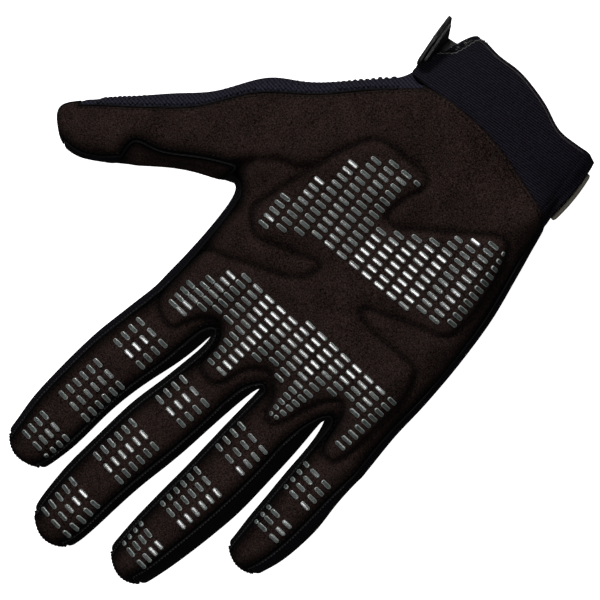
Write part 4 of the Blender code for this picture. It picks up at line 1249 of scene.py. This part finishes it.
def lay_bars(name, centres, runs, normals, lengths, width, height, section, material, points_round=12):
    """Raised bars with round ends on the cloth. Each is a stack of the same outline, two half circles
    joined by straight sides, drawn in and lifted as its section says, and closed at the top and the
    bottom."""
    turn = (np.arange(points_round) + 0.5) * 2 * math.pi / points_round
    side = np.cross(normals, runs)
    side /= np.linalg.norm(side, axis=1, keepdims=True)
    runs = np.cross(side, normals)
    straight = np.maximum(lengths - width, 0) / 2
    rings = []
    for share, lifted, _ in section:
        along = np.sign(np.cos(turn)) * straight[:, None] + width / 2 * share * np.cos(turn)
        over = np.broadcast_to(width / 2 * share * np.sin(turn), along.shape)
        rings.append(centres[:, None] + along[..., None] * runs[:, None] + over[..., None] * side[:, None]
                     + lifted * height * normals[:, None])
    points = np.stack(rings, axis=1)
    levels = len(section)
    start = (np.arange(len(centres)) * levels * points_round)[:, None, None]
    low = start + (np.arange(levels - 1) * points_round)[None, :, None]
    near = low + np.arange(points_round)
    beside = low + np.roll(np.arange(points_round), -1)
    faces = np.stack([near, beside, beside + points_round, near + points_round], axis=-1)
    faces = faces.reshape(-1, 4).tolist()
    bottoms = start[:, 0] + np.arange(points_round)[::-1]
    tops = start[:, 0] + (levels - 1) * points_round + np.arange(points_round)
    faces += bottoms.tolist() + tops.tolist()
    # Painted highlight: the section's third column makes the bars' shoulders paler
    pale = np.tile(np.repeat([row[2] for row in section], points_round), len(centres))
    return make_piece(name, points.reshape(-1, 3), faces, material, {"edge_highlight": pale})


def lay_stitches(name, points, runs, normals, thread, material):
    """Stitches of one kind, each a short raised bar along its run."""
    return lay_bars(name, points, runs, normals, np.full(len(points), thread.length), thread.width,
                    thread.height, STITCH_SECTION, material, points_round=8)


def surface_tree(piece):
    """A tree that finds points on a finished piece."""
    return BVHTree.FromObject(piece, bpy.context.evaluated_depsgraph_get())


DROP_HEIGHT = 0.1               # above every piece


def drop_on(tree, places):
    """Points and normals where straight lines down from the given places meet a surface, and which of them
    do."""
    hits = [tree.ray_cast(Vector((x, y, DROP_HEIGHT)), Vector((0, 0, -1))) for x, y in places.tolist()]
    met = np.array([hit[0] is not None for hit in hits])
    points = np.array([tuple(hit[0]) if hit[0] else (0, 0, 0) for hit in hits])
    normals = np.array([tuple(hit[1]) if hit[0] else (0, 0, 1) for hit in hits])
    return points, normals, met


def nearest_on(tree, places):
    """Points and normals of a surface nearest to the given places."""
    hits = [tree.find_nearest(Vector(place)) for place in places.tolist()]
    return np.array([tuple(hit[0]) for hit in hits]), np.array([tuple(hit[1]) for hit in hits])


def bar_places(field, sizes):
    """Centres, directions and lengths of a field's bars from above, cut back from the quilting and the
    seams."""
    column, row = np.array([(place, first + number) for place, first, count in field.columns
                            for number in range(count)], float).T
    shrink = 1 - field.narrow * (row + 1) if field.narrow else np.ones(len(row))
    x = field.place[0] + field.across * column * shrink + (field.step[0] + field.fan * column) * row
    y = field.place[1] + field.slope * field.across * column - field.droop * column ** 2 + field.step[1] * row
    centres = np.stack([x, y], axis=1) * MM
    rise = field.slope - 2 * field.droop * column / field.across
    runs = np.stack([np.ones_like(rise), rise], axis=1)
    runs /= np.linalg.norm(runs, axis=1, keepdims=True)
    on_finger = field.name == "fingers"
    lengths = (sizes.finger_bar_length if on_finger else sizes.bar_length) * shrink

    along = np.linspace(-0.5, 0.5, 17)
    samples = centres[:, None] + along[None, :, None] * (lengths[:, None] * runs)[:, None]
    flat = samples.reshape(-1, 2)
    sheet = panel_sheet("palm_panel", sizes.skin_level)
    starts, ends = (sheet.points[sheet.rim[:, end], :2] for end in (0, 1))
    free = (gap_to_segments(flat, starts, ends) > sizes.rim_margin) & inside_outline(flat, starts, ends)
    if not on_finger:
        free &= gap_to_pads(flat) > sizes.bar_margin
    free = free.reshape(samples.shape[:2])
    kept = free.any(axis=1)
    low = along[free.argmax(axis=1)]
    high = along[len(along) - 1 - free[:, ::-1].argmax(axis=1)]
    centres = centres + ((low + high) / 2 * lengths)[:, None] * runs
    lengths = (high - low) * lengths
    kept &= lengths > sizes.bar_width
    return centres[kept], runs[kept], lengths[kept]


# The strap

STRAP_FLARE = 1.2 * MM          # how much wider than its solid the strap is at its tip
STRAP_TUCK = 5.8 * MM           # how much narrower the strap is where it turns up than at its tip
STRAP_CORNER = 2.6 * MM         # length over which the free end is rounded
STRAP_HUG = 0.8 * MM            # how far the strap's edges lie closer to the wrist than its solid
STRAP_SQUARENESS = 2.6          # power of the rounded end: 2 is round and more is squarer
STRAP_STEPS = 241
STRAP_LINES = 33
STRAP_EDGE = 0.05               # share of the width over which the strap thins towards its edges
STRAP_EDGE_THICKNESS = 0.62     # its thickness at the very edge, as a share
BAND_LENGTH = 13 * MM           # length of the pale end at the little-finger side
# The hook patch: shares of the strap's width and of the end's height that it covers, and its tufts
HOOK_PATCH_WIDTH = (0.88, 0.12)
HOOK_PATCH_TOP = 0.95
HOOK_PATCH_LINES = (41, 31)
TUFTS = Swell(0.18 * MM, 0.8 * MM, 7)


def cuff_side(y):
    """Sideways place of the little-finger side of the cuff at a place along the glove."""
    wrist = PALM_RINGS[-1]
    places = [(WRIST_Y + wrist.along[0] * PALM_LENGTH, wrist.left)]
    places += [(WRIST_Y - ring.along[0] * CUFF_LENGTH, ring.left) for ring in CUFF_RINGS]
    places = np.array(places[::-1])
    return np.interp(y, places[:, 0], places[:, 1]) * KNUCKLE_WIDTH


def strap_foot():
    """Sideways place of the strap's turned-up end, clear of the wrist and of the cuff's flap."""
    return PALM_RINGS[-1].right * KNUCKLE_WIDTH + 1.5 * STRAP_CLEARANCE + STRAP_THICKNESS / 2


def strap_end(over, rise):
    """Sideways place and height on the turned-up end: over is the share of the strap's width, 0 at the hand
    and 1 at the mouth, and rise the share of the end's height. It leans out further towards the mouth."""
    start = STRAP_THICKNESS / 2 + STRAP_BEND
    return strap_foot() + STRAP_LEAN * over * rise, start + (STRAP_END_HEIGHT - STRAP_BEND) * rise


def strap_section(over, along):
    """The strap's middle line at shares over its width and along its length: up the little-finger side,
    under the cuff and up the turned end, rounded where it turns."""
    outside = cuff_side(STRAP_START - over * STRAP_WIDTH) - 1.4 * STRAP_CLEARANCE - STRAP_THICKNESS / 2
    low = STRAP_THICKNESS / 2
    turn = np.linspace(0, math.pi / 2, 8)
    end_x, end_z = strap_end(over, np.linspace(0, 1, 12)[1:])
    x = np.concatenate([[outside], outside + STRAP_BEND * (1 - np.cos(turn)),
                        strap_foot() - STRAP_BEND * (1 - np.sin(turn)), end_x])
    z = np.concatenate([[low + 2 * STRAP_BEND], low + STRAP_BEND * (1 - np.sin(turn)),
                        low + STRAP_BEND * (1 - np.cos(turn)), end_z])
    walked = np.concatenate([[0], np.cumsum(np.hypot(np.diff(x), np.diff(z)))])
    return np.interp(along * walked[-1], walked, x), np.interp(along * walked[-1], walked, z)


def sheet_shell(name, grid, side, thickness, material, attributes=None):
    """A closed sheet over a grid of points, thickened both ways along the given directions."""
    rows, columns = grid.shape[:2]
    number = np.arange(rows * columns).reshape(rows, columns)
    quads = np.stack([number[:-1, :-1], number[:-1, 1:], number[1:, 1:], number[1:, :-1]], axis=-1)
    edge = np.concatenate([number[0, :-1], number[:-1, -1], number[-1, :0:-1], number[:0:-1, 0]])
    rim = np.stack([edge, np.roll(edge, -1)], axis=1)
    half = (thickness[..., None] / 2 * side).reshape(-1, 3)
    points = grid.reshape(-1, 3)
    return make_piece(name, np.concatenate([points + half, points - half]),
                      shell_faces(quads.reshape(-1, 4), rim, len(points)), material, attributes)


# Operators

def scene_settings():
    """The glove's sizes and colours, as set in the sidebar."""
    scene = bpy.context.scene
    return scene.glove_sizes, scene.glove_colours


class GLOVE_OT_palm(bpy.types.Operator):
    """Dresses the palm and the thumb's crotch patch in quilted suede"""

    bl_idname = "glove.palm"
    bl_label = "Palm and thumb patch"

    def execute(self, context):
        sizes, colours = scene_settings()
        suede = suede_material(sizes, colours)
        palm = dress_panel("palm_panel", sizes.skin_level, suede, palm_relief)
        dress_panel("thumb_patch", sizes.skin_level, suede, lift=PATCH_LIFT)
        return {"FINISHED"}


class GLOVE_OT_knits(bpy.types.Operator):
    """Dresses the back of the hand and the sides of the fingers in knit"""

    bl_idname = "glove.knits"
    bl_label = "Back and finger sides"

    def execute(self, context):
        sizes, colours = scene_settings()
        # The back's knit is painted in the finger sides' black as shade away from the lit thumb's outer side
        knit = knit_material("ribbed_back_knit", sizes.rib_pitch, colours.fourchette, colours.knit,
                             colours.knit_dark, KNIT_RELIEF)
        fine = knit_material("fine_side_knit", FINE_KNIT_PITCH, colours.fourchette, colours.fourchette,
                             dimmed(colours.fourchette, FINE_KNIT_SHADE), FINE_KNIT_RELIEF)
        back = dress_panel("back_panel", sizes.skin_level - 1, knit, lift=BACK_LIFT)
        ribs = knit_material("raised_rib_knit", sizes.rib_pitch, colours.knit, colours.knit,
                             colours.knit_dark, KNIT_RELIEF)
        sheet = panel_sheet("palm_panel", sizes.skin_level)
        loop = max(rim_loops(sheet), key=len)
        at, run = spaced(sheet.points[loop], RIB_PITCH, closed=True)
        outer = at[:, 0] - at[:, 1] > THUMB_SEAM_PAST
        outer &= (at[:, 1] > CUFF_SEAM_BELOW) & (at[:, 1] < RIB_END)
        at, run = at[outer], run[outer]
        nearest = np.linalg.norm(at[:, None] - sheet.points[loop], axis=2).argmin(axis=1)
        outward = np.cross(run, sheet.normals[loop[nearest]])
        places = np.concatenate([at + reach * outward for reach in RIB_ROWS])
        points, normals = nearest_on(surface_tree(back), places)
        lay_bars("thumb_ribs", points, np.cross(np.tile(run, (len(RIB_ROWS), 1)), normals), normals,
                 np.full(len(points), RIB.length), RIB.width, RIB.height, RIB_SECTION, ribs)
        for node in FOURCHETTES:
            dress_panel(node, sizes.skin_level, fine, lift=SIDE_LIFT)
        return {"FINISHED"}


class GLOVE_OT_cuff(bpy.types.Operator):
    """Dresses the cuff in stretch twill and adds its hem line and the loops inside its flap"""

    bl_idname = "glove.cuff"
    bl_label = "Cuff"

    def execute(self, context):
        sizes, colours = scene_settings()
        twill = twill_material(sizes, colours)
        for node in ("cuff_palm", "cuff_back"):
            dress_panel(node, sizes.skin_level, twill)
        hem = thread_material("hem_tape", colours.hem)
        sheet = panel_sheet("cuff_palm", sizes.skin_level)
        ends = sheet.points[sheet.rim]
        mouth = (ends[:, :, 1] < WRIST_Y - HEM_FROM * CUFF_LENGTH).all(axis=1)
        mouth &= np.abs(ends[:, 1, 0] - ends[:, 0, 0]) > np.abs(ends[:, 1, 1] - ends[:, 0, 1])
        raised = sheet._replace(points=sheet.points + (0, HEM_INSET, HEM_LIFT))
        tube_along_rim("hem_line", raised, HEM_RADIUS, 0, hem, chosen=mouth)

        light = thread_material("light_thread", colours.light_thread)
        free = [loop[sheet.points[loop, 0] > FREE_EDGE_MM[0] * MM] for loop in rim_loops(sheet)]
        edge = sheet.points[max(free, key=len)]
        edge = edge[np.argsort(edge[:, 1])]
        edge = edge[edge[:, 1] < FREE_EDGE_MM[1] * MM]
        places, run = spaced(edge, FLAP_STITCH_PITCH, closed=False)
        across = np.cross(run, (0.0, 0.0, 1.0))
        turned = run + np.where(np.arange(len(run)) % 2, 1, -1)[:, None] * across
        points, normals, met = drop_on(surface_tree(bpy.data.objects["cuff_palm_cloth"]),
                                       places[:, :2] - (FLAP_STITCH_INSET, 0))
        lay_stitches("flap_zigzag", points[met], turned[met], normals[met], FLAP_STITCH, light)

        random = np.random.default_rng(FLAP_LOOP_SEED)
        low, high = (np.array(corner) * MM for corner in (LOOPS_FROM_MM, LOOPS_TO_MM))
        places = random.uniform(low, high, (FLAP_LOOP_COUNT, 2))
        turn = random.uniform(0, math.pi, len(places))
        points, normals, met = drop_on(surface_tree(bpy.data.objects["cuff_back_cloth"]), places)
        loose = np.stack([np.cos(turn), np.sin(turn), 0 * turn], axis=1)
        lay_stitches("flap_loops", points[met], loose[met], normals[met], FLAP_LOOP, light)
        return {"FINISHED"}


class GLOVE_OT_seams(bpy.types.Operator):
    """Adds the welts between the panels and the rows of stitches"""

    bl_idname = "glove.seams"
    bl_label = "Welts and stitches"

    def execute(self, context):
        sizes, colours = scene_settings()
        welt = thread_material("folded_welt", colours.welt, shine=0.05)
        thread = thread_material("suede_thread", colours.thread, shine=0.08)
        for row in WELTS:
            sheet = panel_sheet(row.node, sizes.skin_level)
            above_cuff = sheet.points[sheet.rim[:, 0], 1] > CUFF_SEAM_BELOW
            tube_along_rim(row.node + "_welt", sheet, row.radius, row.sink, welt,
                           chosen=above_cuff)

        tree = surface_tree(bpy.data.objects["palm_panel_cloth"])
        sheet = panel_sheet("palm_panel", sizes.skin_level)
        stitches, dots = [], []
        for loop in rim_loops(sheet):
            line = sheet.points[loop]
            inward = np.cross(sheet.normals[loop], np.roll(line, -1, axis=0) - line)
            inward /= np.maximum(np.linalg.norm(inward, axis=1, keepdims=True), 1e-12)
            stitches.append(spaced(line + EDGE_STITCH_INSET * inward, sizes.stitch_pitch, closed=True))
            # Painted highlight along the finger seams, for the suede's raised edge catching the light
            at, run = spaced(line, SEAM_DOT_PITCH, closed=True)
            on_fingers = at[:, 1] > WRIST_Y + PALM_LENGTH
            dots.append((at[on_fingers], run[on_fingers]))
        places, runs = (np.concatenate(values) for values in zip(*stitches))
        points, normals = nearest_on(tree, places)
        edge_stitch = Thread(sizes.stitch_length, sizes.stitch_width, EDGE_STITCH_HEIGHT)
        lay_stitches("edge_stitches", points, runs, normals, edge_stitch, thread)

        # Painted highlight colour of the seam dots
        seam_glint = thread_material("seam_glint_thread", colours.seam_glint_dots, shine=0.15)
        places, runs = (np.concatenate(values) for values in zip(*dots))
        _, normals = nearest_on(tree, places)
        lay_stitches("seam_glint_dots", places + SEAM_DOT_LIFT * normals, runs, normals, SEAM_DOT, seam_glint)

        line, run = spaced(pad_line(), sizes.stitch_pitch, closed=True)
        points, normals, met = drop_on(tree, line)
        runs = np.concatenate([run, np.zeros((len(run), 1))], axis=1)
        quilting_stitch = edge_stitch._replace(height=QUILTING_STITCH_HEIGHT)
        lay_stitches("quilting_stitches", points[met], runs[met], normals[met], quilting_stitch, thread)
        return {"FINISHED"}


class GLOVE_OT_grip_bars(bpy.types.Operator):
    """Prints the silicone grip bars on the palm and the fingers"""

    bl_idname = "glove.grip_bars"
    bl_label = "Grip bars"

    def execute(self, context):
        sizes, colours = scene_settings()
        silicone = silicone_material(colours)
        tree = surface_tree(bpy.data.objects["palm_panel_cloth"])
        for name in dict.fromkeys(field.name for field in BAR_FIELDS_MM):
            found = [bar_places(field, sizes) for field in BAR_FIELDS_MM if field.name == name]
            centres, runs, lengths = (np.concatenate(values) for values in zip(*found))
            points, normals, met = drop_on(tree, centres)
            reach = 0.3 * lengths[:, None] * runs
            ahead, _, met_ahead = drop_on(tree, centres + reach)
            behind, _, met_behind = drop_on(tree, centres - reach)
            met &= met_ahead & met_behind
            if not met.any():
                raise RuntimeError(f"no grip bar of the {name} field meets the palm")
            middles = 0.5 * points + 0.25 * (ahead + behind)
            lay_bars("grip_bars_" + name, middles[met], (ahead - behind)[met], normals[met], lengths[met],
                     sizes.bar_width, sizes.bar_height, BAR_SECTION, silicone)
        return {"FINISHED"}


class GLOVE_OT_strap(bpy.types.Operator):
    """Makes the closure strap with its turned-up end and its hook patch"""

    bl_idname = "glove.strap"
    bl_label = "Closure strap"

    def execute(self, context):
        _, colours = scene_settings()
        along = np.linspace(0, 1, STRAP_STEPS)
        hand, mouth = (np.stack(strap_section(over, along)) for over in (0, 1))
        length = np.hypot(*np.diff(hand, axis=1)).sum()
        to_tip = (1 - along) * length
        from_foot = np.abs(STRAP_END_HEIGHT - to_tip)
        tuck = STRAP_TUCK * np.clip(1 - from_foot / STRAP_END_HEIGHT, 0, 1)
        rounding = 1 - (1 - np.minimum(to_tip / STRAP_CORNER, 1)) ** STRAP_SQUARENESS
        narrow = np.maximum(rounding, 0.02) ** (1 / STRAP_SQUARENESS)
        over = 0.5 + (np.linspace(1, 0, STRAP_LINES)[:, None] - 0.5) * narrow
        x, z = hand[:, None] + (mouth - hand)[:, None] * over
        x += STRAP_HUG * np.where(along > 0.5, -(1 - over) ** 2, (2 * over - 1) ** 2)
        dx, dz = np.gradient(x, axis=1), np.gradient(z, axis=1)
        size = np.hypot(dx, dz)
        side = np.stack([-dz / size, np.zeros_like(x), dx / size], axis=-1)
        y = STRAP_START - over * (STRAP_WIDTH + STRAP_FLARE - tuck)
        grid = np.stack([x, y, z], axis=-1)
        edge = np.minimum(over, 1 - over)
        thinning = (1 - STRAP_EDGE_THICKNESS) * np.minimum(edge / STRAP_EDGE, 1) ** 0.5
        thickness = STRAP_THICKNESS * (STRAP_EDGE_THICKNESS + thinning)
        band = np.broadcast_to(np.clip(2 - along * length / BAND_LENGTH * 2, 0, 1), x.shape).ravel()
        rubber = strap_material("moulded_strap_rubber", colours.strap, colours.band)
        strap = sheet_shell("closure_strap_rubber", grid, side, thickness, rubber,
                            {"band": np.tile(band, 2)})
        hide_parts("closure_strap")

        end_height = STRAP_END_HEIGHT - STRAP_BEND
        across = np.linspace(*HOOK_PATCH_WIDTH, HOOK_PATCH_LINES[0])
        up = np.linspace(HOOK_PATCH_TOP - HOOK_PATCH_HEIGHT / end_height, HOOK_PATCH_TOP, HOOK_PATCH_LINES[1])
        over, rise = np.meshgrid(across, up, indexing="ij")
        x, z = strap_end(over, rise)
        slope = STRAP_LEAN * over / end_height
        inward = np.stack([-np.ones_like(slope), np.zeros_like(slope), slope], axis=-1)
        inward /= np.linalg.norm(inward, axis=-1, keepdims=True)
        gap = (STRAP_THICKNESS + HOOK_PATCH_THICKNESS) / 2 + HOOK_PATCH_GAP
        width = STRAP_WIDTH + STRAP_FLARE - STRAP_TUCK * (1 - rise)
        x -= STRAP_HUG * (1 - over) ** 2
        middle = np.stack([x, STRAP_START - over * width, z], axis=-1)
        tufts = TUFTS.height * soft_noise(middle.reshape(-1, 3), TUFTS.size, TUFTS.seed).reshape(over.shape)
        hooks = sheet_shell("hook_patch_hooks", middle + gap * inward, inward, HOOK_PATCH_THICKNESS + tufts,
                            hook_material(colours))
        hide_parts("hook_patch")
        return {"FINISHED"}


class GLOVE_OT_stage(bpy.types.Operator):
    """Adds the white floor, the soft lights and the camera"""

    bl_idname = "glove.stage"
    bl_label = "Floor, lights and camera"

    def execute(self, context):
        _, colours = scene_settings()
        scene = context.scene
        mesh = bpy.data.meshes.new("studio_floor")
        corners = ((-1, -1), (1, -1), (1, 1), (-1, 1))
        mesh.from_pydata([(FLOOR_REACH * x, FLOOR_REACH * y, FLOOR_HEIGHT) for x, y in corners], [],
                         [(0, 1, 2, 3)])
        mesh.materials.append(floor_material(colours))
        floor = bpy.data.objects.new("studio_floor", mesh)
        scene.collection.objects.link(floor)
        # The paper doesn't light the glove, so its sides stay as dark as in the photograph
        floor.visible_diffuse = False
        floor.visible_glossy = False

        centre = Vector(VIEW_CENTRE)
        for row in STAGE_LIGHTS:
            light = bpy.data.lights.new(row.name, "AREA")
            light.size = row.size
            light.energy = row.power
            lamp = bpy.data.objects.new(row.name, light)
            lamp.visible_diffuse = row.matt
            lamp.visible_glossy = row.shine
            towards = Vector(row.direction).normalized()
            lamp.location = centre + row.distance * towards
            lamp.rotation_euler = towards.to_track_quat("Z", "Y").to_euler()
            scene.collection.objects.link(lamp)

        world = bpy.data.worlds.new("studio_air")
        world.use_nodes = True
        air = world.node_tree.nodes["Background"]
        air.inputs["Color"].default_value = (1.0, 1.0, 1.0, 1.0)
        air.inputs["Strength"].default_value = AIR_LIGHT
        scene.world = world
        scene.view_settings.view_transform = "Standard"

        data = bpy.data.cameras.new("photo_view")
        data.sensor_width = SENSOR_MM
        data.lens = SENSOR_MM * CAMERA_HEIGHT / VIEW_WIDTH
        data.clip_end = CAMERA_SIGHT
        camera = bpy.data.objects.new("photo_view", data)
        camera.matrix_world = (Matrix.Translation(centre + Vector((0, 0, CAMERA_HEIGHT)))
                               @ Matrix.Rotation(VIEW_TURN, 4, "Z"))
        scene.collection.objects.link(camera)
        scene.camera = camera
        return {"FINISHED"}


OPERATORS = (GLOVE_OT_palm, GLOVE_OT_knits, GLOVE_OT_cuff, GLOVE_OT_seams, GLOVE_OT_grip_bars, GLOVE_OT_strap,
             GLOVE_OT_stage)


class GLOVE_PT_sidebar(bpy.types.Panel):
    """Lists the steps, sizes and colours of the glove"""

    bl_idname = "GLOVE_PT_sidebar"
    bl_label = "Motocross glove"
    bl_space_type = "VIEW_3D"
    bl_region_type = "UI"
    bl_category = "Glove"

    def draw(self, context):
        for operator in OPERATORS:
            self.layout.operator(operator.bl_idname, text=operator.bl_label)
        for group in (context.scene.glove_sizes, context.scene.glove_colours):
            box = self.layout.box()
            for name in group.bl_rna.properties.keys():
                if name not in ("rna_type", "name"):
                    box.prop(group, name)


CLASSES = (GloveSizes, GloveColours, *OPERATORS, GLOVE_PT_sidebar)


def register():
    for item in CLASSES:
        bpy.utils.register_class(item)
    bpy.types.Scene.glove_sizes = PointerProperty(type=GloveSizes)
    bpy.types.Scene.glove_colours = PointerProperty(type=GloveColours)


def unregister():
    del bpy.types.Scene.glove_colours
    del bpy.types.Scene.glove_sizes
    for item in reversed(CLASSES):
        bpy.utils.unregister_class(item)


def main():
    register()
    bpy.ops.glove.palm()
    bpy.ops.glove.knits()
    bpy.ops.glove.cuff()
    bpy.ops.glove.seams()
    bpy.ops.glove.grip_bars()
    bpy.ops.glove.strap()
    bpy.ops.glove.stage()


if __name__ == "__main__":
    main()
